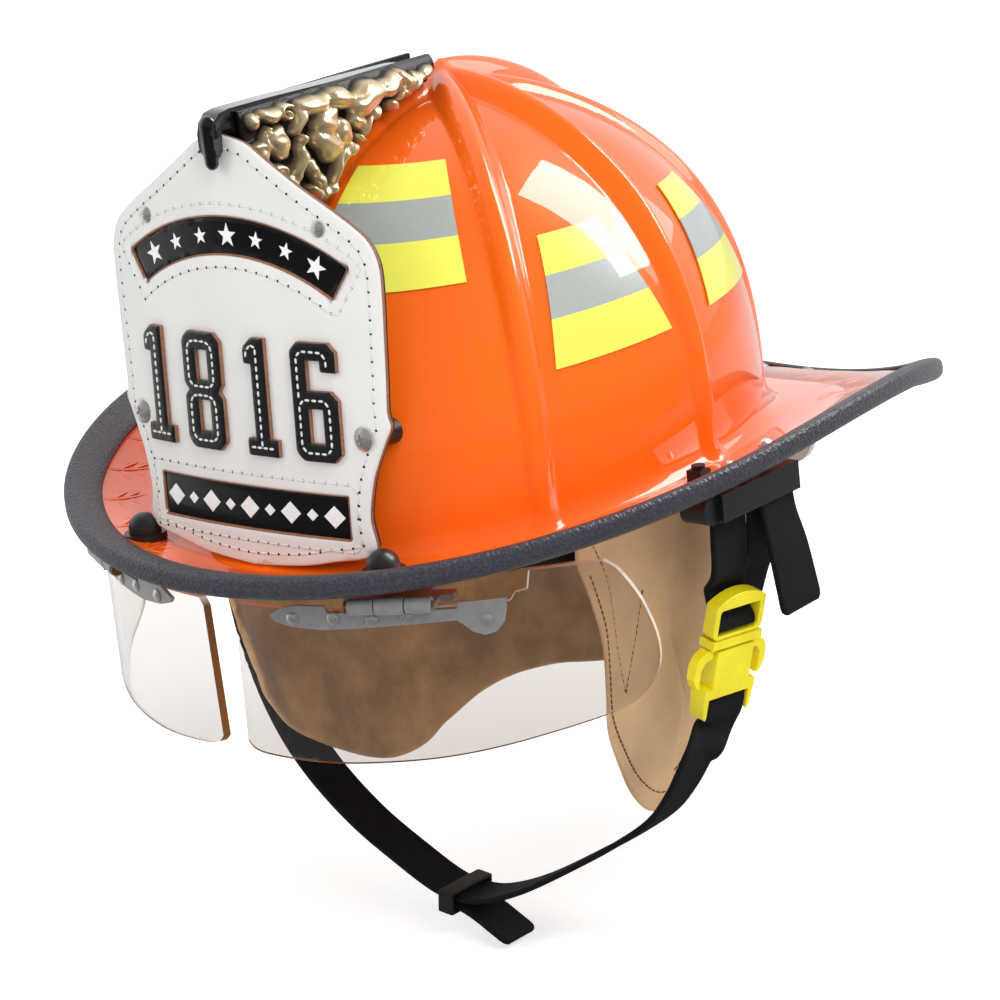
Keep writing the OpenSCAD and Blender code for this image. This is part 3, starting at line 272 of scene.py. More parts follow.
def put(
    name, verts, faces, material, body="helmet", uv=None, sharp=35, index=None, attributes=None, closed=True
):
    """Makes a piece from points in mm and faces, at the origin, and lets it ride on its CAD body.

    index gives each face's material, and edges steeper than sharp degrees stay hard."""
    mesh = bpy.data.meshes.new(name)
    mesh.from_pydata((np.asarray(verts, float).reshape(-1, 3) * MM).tolist(), [], faces)
    for m in material if isinstance(material, (list, tuple)) else [material]:
        mesh.materials.append(bpy.data.materials[m])
    mesh.polygons.foreach_set("use_smooth", np.full(len(mesh.polygons), True))
    if index is not None:
        mesh.polygons.foreach_set("material_index", np.asarray(index, np.int32))
    if uv is not None:
        layer = mesh.uv_layers.new(name="UVMap")
        loops = np.zeros(len(mesh.loops), np.int32)
        mesh.loops.foreach_get("vertex_index", loops)
        layer.data.foreach_set("uv", (np.asarray(uv, float).reshape(-1, 2)[loops] * MM).ravel())
    for key, values in (attributes or {}).items():
        layer = mesh.attributes.new(key, "FLOAT", "POINT")
        layer.data.foreach_set("value", np.asarray(values, np.float32).ravel())
    mesh.update()
    # a closed surface whose signed volume is negative is inside out
    mesh.calc_loop_triangles()
    tri = np.zeros(len(mesh.loop_triangles) * 3, np.int32)
    mesh.loop_triangles.foreach_get("vertices", tri)
    a, b, c = np.asarray(verts, float).reshape(-1, 3)[tri.reshape(-1, 3)].transpose(1, 0, 2)
    if closed and (a * np.cross(b, c)).sum() < 0:
        mesh.flip_normals()
    if sharp:
        mesh.set_sharp_from_angle(angle=math.radians(sharp))
    piece = bpy.data.objects.new(name, mesh)
    bpy.context.scene.collection.objects.link(piece)
    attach(piece, body)
    return piece


def dress(piece, slot, *nodes):
    """The piece stands for these CAD nodes and hides them; the slot is not used."""
    if nodes:
        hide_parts(*nodes)
    return piece


def quads(rows, cols, wrap=False):
    """Quads over a grid of rows by cols points, wrapped round along the columns if asked."""
    j = np.arange(cols if wrap else cols - 1)
    i = np.arange(rows - 1)[:, None] * cols
    k = (j + 1) % cols
    return np.stack([i + j, i + k, i + cols + k, i + cols + j], -1).reshape(-1, 4)


def tube(rows, ring):
    """Faces of a tube of rows of rings: quads round its side and one flat face at each end."""
    ends = [list(range(ring))[::-1], [(rows - 1) * ring + i for i in range(ring)]]
    return quads(rows, ring, True).tolist() + ends


def cupola(rows, ends):
    """Rows of rings whose first and last are closed by triangles to a point. Returns points and faces."""
    m, n = len(rows), len(rows[0])
    j = np.arange(n)
    k = (j + 1) % n
    first = np.stack([k, j, 0 * j + m * n], -1)
    last = np.stack([(m - 1) * n + j, (m - 1) * n + k, 0 * j + m * n + 1], -1)
    faces = quads(m, n, True).tolist() + first.tolist() + last.tolist()
    return np.concatenate([*rows, np.stack(ends)]), faces


def slab(front, back):
    """Closed sheet between two grids of the same size: both faces and the strip round their rim."""
    rows, cols = front.shape[:2]
    n = rows * cols
    grid = np.arange(n).reshape(rows, cols)
    rim = np.concatenate([grid[0, :-1], grid[:-1, -1], grid[-1, :0:-1], grid[:0:-1, 0]])
    nxt = np.roll(rim, -1)
    face = quads(rows, cols)
    faces = np.concatenate([face, face[:, ::-1] + n, np.stack([rim, rim + n, nxt + n, nxt], -1)])
    return np.concatenate([front.reshape(-1, 3), back.reshape(-1, 3)]), faces.tolist()


def sweep(path, section, across):
    """Carries a closed section (reach along the width, reach along the normal) along a path.

    The width direction is given, once or per point; the normal is the tangent crossed with
    it. Both ends are closed. Returns points, faces and uv."""
    p = np.asarray(path, float)
    tan = unit(np.gradient(p, axis=0))
    w = np.broadcast_to(across, p.shape)
    w = unit(w - (w * tan).sum(-1, keepdims=True) * tan)
    nd = np.cross(tan, w)
    s = np.asarray(section, float)
    if s.ndim == 2:
        s = np.broadcast_to(s, (len(p), *s.shape))
    m = s.shape[1]
    grid = p[:, None] + w[:, None] * s[..., :1] + nd[:, None] * s[..., 1:]
    faces = tube(len(p), m)
    along = np.concatenate([[0], np.cumsum(np.linalg.norm(np.diff(p, axis=0), axis=1))])
    uv = stack(s[..., 0], along[:, None])
    return grid.reshape(-1, 3), faces, uv.reshape(-1, 2)


def circle(r, n):
    """n points round a circle of radius r."""
    a = np.arange(n) * 2 * np.pi / n
    return np.stack([r * np.cos(a), r * np.sin(a)], -1)


def rounded(w, h, r, n):
    """Section of a rounded rectangle, anticlockwise, with n steps in each corner."""
    a = np.linspace(0, np.pi / 2, n + 1)
    corner = np.stack([np.cos(a), np.sin(a)], -1) * r
    out = []
    for k, (sx, sy) in enumerate([(1, 1), (-1, 1), (-1, -1), (1, -1)]):
        c, s = np.cos(k * np.pi / 2), np.sin(k * np.pi / 2)
        out.append(corner @ np.array([[c, s], [-s, c]]) + [sx * (w / 2 - r), sy * (h / 2 - r)])
    return np.concatenate(out)


def joined(parts):
    """Several (points, faces) as one."""
    verts, faces, n = [], [], 0
    for v, f in parts:
        v = np.asarray(v).reshape(-1, 3)
        verts.append(v)
        faces += [[i + n for i in q] for q in f]
        n += len(v)
    return np.concatenate(verts), faces


def inside(points, outline):
    """Even-odd test of points against a closed outline, by crossings of a ray along X."""
    a, b = outline, np.roll(outline, -1, 0)
    x, y = points[:, 0, None], points[:, 1, None]
    cross = (a[:, 1] > y) != (b[:, 1] > y)
    with np.errstate(divide="ignore", invalid="ignore"):
        at = (b[:, 0] - a[:, 0]) * (y - a[:, 1]) / (b[:, 1] - a[:, 1]) + a[:, 0]
    return (cross & (x < at)).sum(1) % 2 == 1


def on_board(points, loops):
    """Points inside the first outline and in none of the others, which are its holes."""
    keep = inside(points, loops[0])
    for hole in loops[1:]:
        keep &= ~inside(points, hole)
    return keep


def to_left(loop):
    """Level normals of a closed outline, to the left of the way it runs."""
    return unit(np.roll(loop, -1, 0) - np.roll(loop, 1, 0))[:, ::-1] * [-1, 1]


def rim_distance(points, loops):
    """Least distance of each point to the segments of all the outlines."""
    best = np.full(len(points), 1e9)
    for loop in loops:
        a, d = loop, np.roll(loop, -1, 0) - loop
        rel = points[:, None] - a
        u = np.clip((rel * d).sum(-1) / np.maximum((d * d).sum(-1), 1e-12), 0, 1)
        best = np.minimum(best, np.linalg.norm(rel - u[..., None] * d, axis=-1).min(1))
    return best


def flat_mesh(outline, holes, step, insets):
    """Triangles over a flat outline with holes, between its rim, lines of points inset from it
    and a staggered grid inside. The rim's edges are kept."""
    loops = [np.asarray(q, float) for q in [outline, *holes]]
    pts, edges, n = [], [], 0
    for q in loops:
        pts.append(q)
        edges += [(n + i, n + (i + 1) % len(q)) for i in range(len(q))]
        n += len(q)
    rim = np.concatenate(pts)
    extra = []
    for inset in insets:
        for q in loops:
            for sign in (-1, 1):
                extra.append((q + to_left(q) * inset * sign, inset * 0.93))
    lo, hi = loops[0].min(0), loops[0].max(0)
    gx, gy = np.meshgrid(np.arange(lo[0], hi[0], step), np.arange(lo[1], hi[1], step * 0.866))
    gx = gx + (np.arange(len(gx)) % 2)[:, None] * step / 2
    extra.append((np.stack([gx.ravel(), gy.ravel()], -1), max([*insets, 0]) + step * 0.45))
    good = []
    for q, clear in extra:
        good.append(q[on_board(q, loops) & (rim_distance(q, loops) > clear)])
    every = np.concatenate([rim, *good])
    v, _, f, *_ = delaunay_2d_cdt([Vector(p) for p in every], edges, [], 1, 1e-5)
    v = np.array([tuple(p) for p in v])
    f = np.array([t for t in f if len(t) == 3])
    f = f[on_board(v[f].mean(1), loops)]
    a, b, c = (v[f[:, i]] for i in range(3))
    turn = (b - a)[:, 0] * (c - a)[:, 1] - (b - a)[:, 1] * (c - a)[:, 0]
    f = np.where((turn > 0)[:, None], f, f[:, ::-1])[np.abs(turn) > 1e-9]
    return v, f, rim_distance(v, loops)


def cut_piece(outline, holes, place, thick, step, edge, back_edge=0.0):
    """Board cut to an outline, both rims rounded: the face sinks near the rim along a quarter
    circle of the edge radius. place(x, z, depth) carries it to its surface. Returns points,
    faces and a part number for each face, 0 front, 1 wall, 2 back."""
    insets = [edge * k for k in (0.12, 0.45, 1.0)] if edge else []
    v, f, d = flat_mesh(outline, holes, step, insets)

    def bulge(r):
        return r * (1 - np.sqrt(np.maximum(1 - (1 - np.clip(d / r, 0, 1)) ** 2, 0))) if r else 0 * d

    front = place(v[:, 0], v[:, 1], bulge(edge))
    back = place(v[:, 0], v[:, 1], thick - bulge(back_edge))
    n = len(v)
    rim, nxt = rim_edges(f)
    wall = np.stack([rim + n, nxt + n, nxt, rim], -1)
    faces = f.tolist() + wall.tolist() + (f[:, ::-1] + n).tolist()
    part = [0] * len(f) + [1] * len(rim) + [2] * len(f)
    return np.concatenate([front, back]), faces, part


def rim_edges(f):
    """Edges that only one triangle uses, in that triangle's order."""
    e = np.concatenate([f[:, [0, 1]], f[:, [1, 2]], f[:, [2, 0]]])
    _, at, count = np.unique(np.sort(e, 1), axis=0, return_index=True, return_counts=True)
    once = e[at[count == 1]]
    return once[:, 0], once[:, 1]


def stitches(paths, place, pitch, length, r, sink=0.35):
    """Rows of sewn thread: on each path a short round-ended stitch at every pitch, as a tube of
    five rings whose radius follows a half circle. It is squeezed to three quarters of its
    height and stands out of the surface by its radius less the sink."""
    made = []
    squeeze, ring = 0.75, circle(1, 6)
    for path, closed in paths:
        line = even(path, pitch, closed)
        nxt = np.roll(line, -1, 0) if closed else line[1:]
        start = line if closed else line[:-1]
        way = unit(nxt - start)
        mid = (start + nxt) / 2
        side = way[:, ::-1] * [-1, 1]
        u = np.array([-1, -0.82, 0, 0.82, 1]) * length / 2
        rad = r * np.array([0.05, 0.75, 1, 0.75, 0.05])
        flat = mid[:, None, None] + way[:, None, None] * u[None, :, None, None]
        flat = flat + side[:, None, None] * (rad[None, :, None, None] * ring[None, None, :, :1])
        up = (rad[:, None] * ring[None, :, 1]) * squeeze + r * squeeze - sink
        up = np.broadcast_to(up[None], flat.shape[:3])
        pts = place(flat[..., 0], flat[..., 1], -up).reshape(len(mid), -1, 3)
        made += [(p, tube(5, 6)) for p in pts]
    return joined(made)


def dots(paths, place, pitch, r):
    """Needle holes: a small eight-sided disc just above the surface at every pitch of each path."""
    made = []
    for path, closed in paths:
        line = even(path, pitch, closed)
        ring = line[:, None] + circle(r, 8)
        pts = place(ring[..., 0], ring[..., 1], np.full(ring.shape[:2], -0.03))
        made += [(p, [list(range(8))]) for p in pts]
    return joined(made)


def refined(name, node, material, slot, bevel, segments=2):
    """A CAD node's own form with merged points, flat faces dissolved and its edges rounded."""
    hard = math.radians(32)
    mesh = frame["nodes"][node].data.copy()
    mesh.name = name
    mesh.materials.clear()
    mesh.materials.append(bpy.data.materials[material])
    work = bmesh.new()
    work.from_mesh(mesh)
    bmesh.ops.remove_doubles(work, verts=work.verts, dist=2e-6)
    bmesh.ops.dissolve_limit(work, angle_limit=math.radians(0.6), verts=work.verts, edges=work.edges)
    for face in work.faces:
        face.smooth = True
        face.material_index = 0
    work.to_mesh(mesh)
    work.free()
    mesh.set_sharp_from_angle(angle=hard)
    piece = bpy.data.objects.new(name, mesh)
    bpy.context.scene.collection.objects.link(piece)
    soft = piece.modifiers.new("Rounded edges", "BEVEL")
    soft.width = bevel * MM
    soft.segments = segments
    soft.limit_method = "ANGLE"
    soft.angle_limit = hard
    soft.harden_normals = True
    soft.use_clamp_overlap = True
    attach(piece, frame["nodes"][node]["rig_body"])
    return dress(piece, slot, node)


# Materials


def add(tree, kind, out=0, inputs=None, to=None, **settings):
    """Adds one node with its settings and links, and returns the output asked for.

    inputs are its sockets' values or the outputs that feed them; to is the socket that it feeds."""
    made = tree.nodes.new(kind)
    for key, value in settings.items():
        setattr(made, key, value)
    for key, value in (inputs or {}).items():
        if isinstance(value, bpy.types.NodeSocket):
            tree.links.new(value, made.inputs[key])
        else:
            made.inputs[key].default_value = value
    if to:
        tree.links.new(made.outputs[out], to)
    return made.outputs[out]


def finish_of(name, colour, roughness, pattern=None, **sockets):
    """A Principled material. pattern(tree, shader, where, colour) adds its grain, weave or wear."""
    mat = bpy.data.materials.new(name)
    mat.use_nodes = True
    tree = mat.node_tree
    shader = tree.nodes["Principled BSDF"]
    shader.inputs["Base Color"].default_value = colour
    shader.inputs["Roughness"].default_value = roughness
    for key, value in sockets.items():
        shader.inputs[key.replace("_", " ")].default_value = value
    if pattern:
        pattern(tree, shader.inputs, add(tree, "ShaderNodeTexCoord", "Object"), colour)


def tint(tree, factor, low, high, to, start=0.3, end=0.7):
    """Runs a socket from low to high, two colours or two values, while the factor goes from start to end."""
    step = add(tree, "ShaderNodeMapRange", "Result", {"Value": factor, "From Min": start, "From Max": end})
    if isinstance(low, float):
        return add(tree, "ShaderNodeMapRange", "Result", {"Value": step, "To Min": low, "To Max": high}, to)
    # sockets 6 and 7 of the mix node are its two colours, and output 2 is the mixed one
    return add(tree, "ShaderNodeMix", 2, {0: step, 6: low, 7: high}, to, data_type="RGBA")


def shade(colour, k):
    """The colour k times as light, no channel above 1."""
    return (*[min(1.0, c * k) for c in colour[:3]], 1.0)


def weave_height(tree, across_mm, along_mm):
    """Plain weave from the piece's UV map in metres: the product of a sine across and one along."""
    uv = add(tree, "ShaderNodeSeparateXYZ", 0, {"Vector": add(tree, "ShaderNodeTexCoord", "UV")}).node
    waves = []
    for k, mm in enumerate((across_mm, along_mm)):
        turns = {0: uv.outputs[k], 1: 2 * math.pi * 1000 / mm}
        turns = add(tree, "ShaderNodeMath", 0, turns, operation="MULTIPLY")
        waves.append(add(tree, "ShaderNodeMath", 0, {0: turns}, operation="SINE"))
    both = add(tree, "ShaderNodeMath", 0, {0: waves[0], 1: waves[1]}, operation="MULTIPLY")
    return add(tree, "ShaderNodeMath", 0, {0: both, 1: 0.5, 2: 0.5}, operation="MULTIPLY_ADD")


def gloss_shell(tree, sockets, where, colour):
    # sprayed topcoat: slow drifts of tone and the slightest orange peel, 7 mm across, under hard gloss
    drift = add(tree, "ShaderNodeTexNoise", "Fac", {"Vector": where, "Scale": 1000 / 90, "Detail": 2.0})
    tint(tree, drift, shade(colour, 0.95), shade(colour, 1.04), sockets["Base Color"])
    peel = add(tree, "ShaderNodeTexNoise", "Fac", {"Vector": where, "Scale": 1000 / 7, "Detail": 1.0})
    bump = {"Height": peel, "Distance": 0.04 * MM, "Strength": 0.3}
    bump = add(tree, "ShaderNodeBump", 0, bump)
    for key in ("Normal", "Coat Normal"):
        tree.links.new(bump, sockets[key])


def rubber_grain(tree, sockets, where, colour):
    # extruded rubber: a pebbled skin of grains about 1.2 mm across, with smoother specks painted paler as
    # glints
    glint_speck = {"Vector": where, "Scale": 1000 / 0.9, "Detail": 4.0, "Roughness": 0.7}
    glint_speck = add(tree, "ShaderNodeTexNoise", "Fac", glint_speck)
    tint(tree, glint_speck, shade(colour, 0.7), shade(colour, 1.5), sockets["Base Color"], 0.38, 0.7)
    tint(tree, glint_speck, 0.5, 0.34, sockets["Roughness"])
    grain = add(tree, "ShaderNodeTexVoronoi", "Distance", {"Vector": where, "Scale": 1000 / 1.2})
    bump = {"Height": grain, "Distance": 0.5 * MM, "Strength": 0.8}
    add(tree, "ShaderNodeBump", 0, bump, sockets["Normal"])


def leather_grain(mm, depth, low=0.97, high=1.02):
    """Hide with pores so many millimetres apart, over soft waves seven times as long."""

    def pattern(tree, sockets, where, colour):
        drift = add(tree, "ShaderNodeTexNoise", "Fac", {"Vector": where, "Scale": 1000 / 22, "Detail": 4.0})
        tint(tree, drift, shade(colour, low), shade(colour, high), sockets["Base Color"])
        wave = add(tree, "ShaderNodeTexNoise", "Fac", {"Vector": where, "Scale": 1000 / mm / 7})
        pore = add(tree, "ShaderNodeTexVoronoi", "Distance", {"Vector": where, "Scale": 1000 / mm})
        under = {"Height": wave, "Distance": depth * 1.6 * MM, "Strength": 0.5}
        under = add(tree, "ShaderNodeBump", 0, under)
        bump = {"Height": pore, "Distance": depth * MM, "Strength": 0.6, "Normal": under}
        add(tree, "ShaderNodeBump", 0, bump, sockets["Normal"])

    return pattern


def cut_leather(tree, sockets, where, colour):
    # raw cut side of the hide: fibres about 1 mm long in mixed browns
    fibre = {"Vector": where, "Scale": 1000 / 1.2, "Detail": 5.0, "Roughness": 0.7}
    fibre = add(tree, "ShaderNodeTexNoise", "Fac", fibre)
    tint(tree, fibre, shade(colour, 0.62), shade(colour, 1.25), sockets["Base Color"], 0.32, 0.68)
    bump = {"Height": fibre, "Distance": 0.2 * MM, "Strength": 0.7}
    add(tree, "ShaderNodeBump", 0, bump, sockets["Normal"])


def moulded(tree, sockets, where, colour):
    # moulded plastic with the fine etched texture of its tool, 0.8 mm, and slow drifts of tone
    drift = add(tree, "ShaderNodeTexNoise", "Fac", {"Vector": where, "Scale": 1000 / 18, "Detail": 3.0})
    tint(tree, drift, shade(colour, 0.92), shade(colour, 1.1), sockets["Base Color"])
    etch = add(tree, "ShaderNodeTexNoise", "Fac", {"Vector": where, "Scale": 1000 / 0.8, "Detail": 3.0})
    bump = {"Height": etch, "Distance": 0.04 * MM, "Strength": 0.5}
    add(tree, "ShaderNodeBump", 0, bump, sockets["Normal"])


def gilt(tree, sockets, where, colour):
    # cast and gilded: the hollows are dark brown, partly lacquer and partly painted shade, and the high
    # places are rubbed pale
    high = add(tree, "ShaderNodeAttribute", "Fac", attribute_name="raised")
    blot = add(tree, "ShaderNodeTexNoise", "Fac", {"Vector": where, "Scale": 1000 / 5, "Detail": 4.0})
    wear_and_shade = add(tree, "ShaderNodeMath", 0, {0: blot, 1: 0.3, 2: high}, operation="MULTIPLY_ADD")
    tint(tree, wear_and_shade, linear("#1C1410"), colour, sockets["Base Color"], 0.2, 0.8)
    tint(tree, wear_and_shade, 0.5, 0.34, sockets["Roughness"])
    tint(tree, wear_and_shade, 0.2, 0.75, sockets["Metallic"], 0.2, 0.5)
    bump = {"Height": blot, "Distance": 0.06 * MM, "Strength": 0.3}
    add(tree, "ShaderNodeBump", 0, bump, sockets["Normal"])


def film(tree, sockets, where, colour):
    # prismatic film: lime, silver and lime bands over its height, pressed into cells 2.2 mm across
    uv = add(tree, "ShaderNodeSeparateXYZ", 1, {"Vector": add(tree, "ShaderNodeTexCoord", "UV")})
    # the UV map is in metres, so the share of the height comes back with a factor of 1000
    share = add(tree, "ShaderNodeMath", 0, {0: uv, 1: 1000.0}, operation="MULTIPLY")
    band = {0: share, 1: 0.5, 2: 0.165}
    band = add(tree, "ShaderNodeMath", 0, band, operation="COMPARE")
    spot = add(tree, "ShaderNodeTexNoise", "Fac", {"Vector": where, "Scale": 1000 / 1.1, "Detail": 3.0})
    silver = linear("#A9AEAA")
    lime = {0: spot, 6: shade(colour, 0.95), 7: shade(colour, 1.03)}
    grey = {0: spot, 6: shade(silver, 0.88), 7: shade(silver, 1.1)}
    lime = add(tree, "ShaderNodeMix", 2, lime, data_type="RGBA")
    grey = add(tree, "ShaderNodeMix", 2, grey, data_type="RGBA")
    add(tree, "ShaderNodeMix", 2, {0: band, 6: lime, 7: grey}, sockets["Base Color"], data_type="RGBA")
    seal = add(tree, "ShaderNodeTexVoronoi", "Distance", {"Vector": where, "Scale": 1000 / 2.2})
    bump = {"Height": seal, "Distance": 0.05 * MM, "Strength": 0.4}
    add(tree, "ShaderNodeBump", 0, bump, sockets["Normal"])


def plated(tree, sockets, where, colour):
    # electroplate: patches 5 mm across that are handled duller
    dull = add(tree, "ShaderNodeTexNoise", "Fac", {"Vector": where, "Scale": 1000 / 5, "Detail": 4.0})
    tint(tree, dull, 0.18, 0.36, sockets["Roughness"], 0.3, 0.75)


def galvanised(tree, sockets, where, colour):
    # thin zinc coat: blots 3 mm across, a little lighter and darker, and fine pits
    blot = add(tree, "ShaderNodeTexNoise", "Fac", {"Vector": where, "Scale": 1000 / 3, "Detail": 5.0})
    tint(tree, blot, shade(colour, 0.9), shade(colour, 1.08), sockets["Base Color"])
    tint(tree, blot, 0.4, 0.5, sockets["Roughness"])
    pit = add(tree, "ShaderNodeTexNoise", "Fac", {"Vector": where, "Scale": 1000 / 1.5, "Detail": 4.0})
    add(tree, "ShaderNodeBump", 0, {"Height": pit, "Distance": 0.04 * MM, "Strength": 0.5}, sockets["Normal"])


def webbing(tree, sockets, where, colour):
    # narrow woven polyester: threads 1.1 mm apart across and 1.5 mm along, with fuzz between them
    weave = weave_height(tree, 1.1, 1.5)
    fuzz = {"Vector": where, "Scale": 1000 / 0.9, "Detail": 4.0, "Roughness": 0.7}
    fuzz = add(tree, "ShaderNodeTexNoise", "Fac", fuzz)
    thread = add(tree, "ShaderNodeMath", 0, {0: weave, 1: fuzz}, operation="MULTIPLY")
    # the crowns of the threads are painted lighter and the hollows darker, as painted light and shade on the
    # weave
    tint(tree, thread, shade(colour, 0.6), shade(colour, 1.7), sockets["Base Color"], 0.1, 0.7)
    bump = {"Height": weave, "Distance": 0.16 * MM, "Strength": 0.7}
    add(tree, "ShaderNodeBump", 0, bump, sockets["Normal"])


def duck(tree, sockets, where, colour):
    # heavy aramid duck: threads 1.2 mm apart with slubs, and clouds of wear about 34 mm across
    cloud = {"Vector": where, "Scale": 1000 / 34, "Detail": 5.0, "Roughness": 0.62}
    cloud = add(tree, "ShaderNodeTexNoise", "Fac", cloud)
    base = tint(tree, cloud, shade(colour, 0.84), shade(colour, 1.12), None, 0.34, 0.68)
    slub = {"Vector": where, "Scale": 1000 / 1.1, "Detail": 4.0, "Roughness": 0.75}
    slub = add(tree, "ShaderNodeTexNoise", "Fac", slub)
    part = add(tree, "ShaderNodeMath", 0, {0: slub, 1: 0.5}, operation="MULTIPLY")
    height_wear_and_shade = {0: part, 6: base, 7: shade(colour, 0.76)}
    add(tree, "ShaderNodeMix", 2, height_wear_and_shade, sockets["Base Color"], data_type="RGBA")
    height = {0: weave_height(tree, 1.2, 1.2), 1: slub}
    height = add(tree, "ShaderNodeMath", 0, height, operation="ADD")
    bump = {"Height": height, "Distance": 0.16 * MM, "Strength": 0.6}
    add(tree, "ShaderNodeBump", 0, bump, sockets["Normal"])


def foam(tree, sockets, where, colour):
    # moulded foam: closed beads about 2.6 mm across
    bead = add(tree, "ShaderNodeTexVoronoi", "Distance", {"Vector": where, "Scale": 1000 / 2.6})
    tint(tree, bead, shade(colour, 1.15), shade(colour, 0.8), sockets["Base Color"])
    add(tree, "ShaderNodeBump", 0, {"Height": bead, "Distance": 0.4 * MM, "Strength": 0.7}, sockets["Normal"])


def flannel(tree, sockets, where, colour):
    # brushed lining: short fibres and no weave, over clouds about 34 mm across, of wear and of painted sheen
    # and shade
    cloud = {"Vector": where, "Scale": 1000 / 34, "Detail": 5.0, "Roughness": 0.62}
    cloud = add(tree, "ShaderNodeTexNoise", "Fac", cloud)
    tint(tree, cloud, shade(colour, 0.6), shade(colour, 1.15), sockets["Base Color"], 0.38, 0.62)
    nap = {"Vector": where, "Scale": 1000 / 0.9, "Detail": 5.0, "Roughness": 0.75}
    nap = add(tree, "ShaderNodeTexNoise", "Fac", nap)
    add(tree, "ShaderNodeBump", 0, {"Height": nap, "Distance": 0.25 * MM, "Strength": 0.7}, sockets["Normal"])


def thread(tree, sockets, where, colour):
    # twisted thread: its plies change the tone every 0.6 mm; foil and needle holes take the same mottle
    ply = add(tree, "ShaderNodeTexNoise", "Fac", {"Vector": where, "Scale": 1000 / 0.6})
    tint(tree, ply, shade(colour, 0.85), shade(colour, 1.05), sockets["Base Color"])
    add(tree, "ShaderNodeBump", 0, {"Height": ply, "Distance": 0.05 * MM, "Strength": 0.5}, sockets["Normal"])


def clear_lens(tree, sockets, where, colour):
    # clear sheet that lets its shadow rays through, so that what is behind it stays lit
    shader, out = sockets["Base Color"].node, tree.nodes["Material Output"]
    way = add(tree, "ShaderNodeLightPath", "Is Shadow Ray")
    clear = add(tree, "ShaderNodeBsdfTransparent", 0, {"Color": colour})
    both = {0: way, 1: shader.outputs[0], 2: clear}
    add(tree, "ShaderNodeMixShader", 0, both, out.inputs["Surface"])


def lit_edge(tree, sockets, where, colour):
    # the cut edge of a clear sheet is amber, painted dark for its shade, and painted pale as a highlight
    # above and at the outer end
    painted_light = add(tree, "ShaderNodeAttribute", "Fac", attribute_name="outer")
    tint(tree, painted_light, colour, linear("#F6EEE6"), sockets["Base Color"], 0.1, 0.9)


FINISHES = [
    # name, colour as a hex value or by its name in the panel, roughness, pattern, other sockets
    ("Gloss composite, orange", "shell", 0.35, gloss_shell,
     {"Specular_IOR_Level": 0.15, "Coat_Weight": 1.0, "Coat_Roughness": 0.02}),
    ("Extruded rubber, slate", "#3A3A43", 0.38, rubber_grain, {}),
    ("Painted leather, white", "#DDDCDA", 0.5, leather_grain(1.3, 0.06), {"Coat_Weight": 0.15}),
    ("Patent leather, black", "#19181B", 0.26, leather_grain(1.8, 0.14, 0.8, 1.2), {"Coat_Weight": 0.5}),
    ("Inlay film, black gloss", "#0C0B0E", 0.15, leather_grain(9, 0.1, 0.9, 1.1), {"Coat_Weight": 0.3}),
    ("Cut leather, natural", "#94684E", 0.8, cut_leather, {}),
    ("Backing leather, black", "#161519", 0.45, leather_grain(1.6, 0.12, 0.85, 1.15), {}),
    ("Waxed thread, white", "#DCDAD4", 0.55, thread, {}),
    ("Needle hole", "#2A2A2C", 0.8, thread, {}),
    ("Foil, white", "#F0F0EE", 0.3, thread, {}),
    ("Lacquered casting, black", "#0B0B0D", 0.14, None, {"Coat_Weight": 1.0, "Coat_Roughness": 0.04}),
    ("Gilded casting", "#D2BE9A", 0.35, gilt, {"Metallic": 0.7}),
    ("Prismatic film, lime", "#F8F65C", 0.32, film, {"Coat_Weight": 0.8, "Coat_Roughness": 0.05}),
    ("Nickel plate", "#E2DFDB", 0.3, plated, {"Metallic": 0.85}),
    ("Yellow brass", "#C99A4A", 0.25, plated, {"Metallic": 1.0}),
    ("Phosphated steel", "#2E2826", 0.45, moulded, {"Metallic": 0.6}),
    ("Zinc plate", "#A3A1A3", 0.45, galvanised, {"Metallic": 0.5}),
    ("Moulded nylon, black", "#17171A", 0.4, moulded, {}),
    ("Moulded rubber, black", "#1D1D21", 0.42, moulded, {"Coat_Weight": 0.3, "Coat_Roughness": 0.2}),
    ("Woven polyester, black", "#131316", 0.8, webbing, {"Specular_IOR_Level": 0.3}),
    ("Moulded acetal, yellow", "buckle", 0.34, moulded, {"Coat_Weight": 0.25, "Coat_Roughness": 0.15}),
    ("Moulded foam, charcoal", "#3A3B3F", 0.9, foam, {}),
    ("Brushed pad cloth, black", "#202024", 0.9, flannel, {"Sheen_Weight": 0.3}),
    ("Soft leather, brown", "#6A4830", 0.55, leather_grain(1.5, 0.16, 0.8, 1.15), {}),
    ("Aramid duck, tan", "cloth", 0.88, duck, {"Sheen_Weight": 0.2, "Sheen_Roughness": 0.5}),
    ("Flannel lining, tan", "#D0A06C", 0.95, flannel, {"Sheen_Weight": 0.4}),
    ("Seam thread, brown", "#6E4A28", 0.8, thread, {}),
    ("Polycarbonate, clear", "#E6E2DE", 0.0, clear_lens, {"Transmission_Weight": 1.0, "IOR": 1.45}),
    # the amber of the cut edge is painted dark, as shade
    ("Polycarbonate, cut edge", "#7A4A1E", 0.25, lit_edge, {"Coat_Weight": 0.6}),
]


def size_field(label, note, size, least):
    """A length that can be set in the panel, in metres."""
    return bpy.props.FloatProperty(name=label, description=note, default=size, min=least, unit="LENGTH")


def colour_field(label, note, code):
    """A colour that can be set in the panel."""
    return bpy.props.FloatVectorProperty(
        name=label, description=note, default=linear(code), subtype="COLOR", size=4
    )


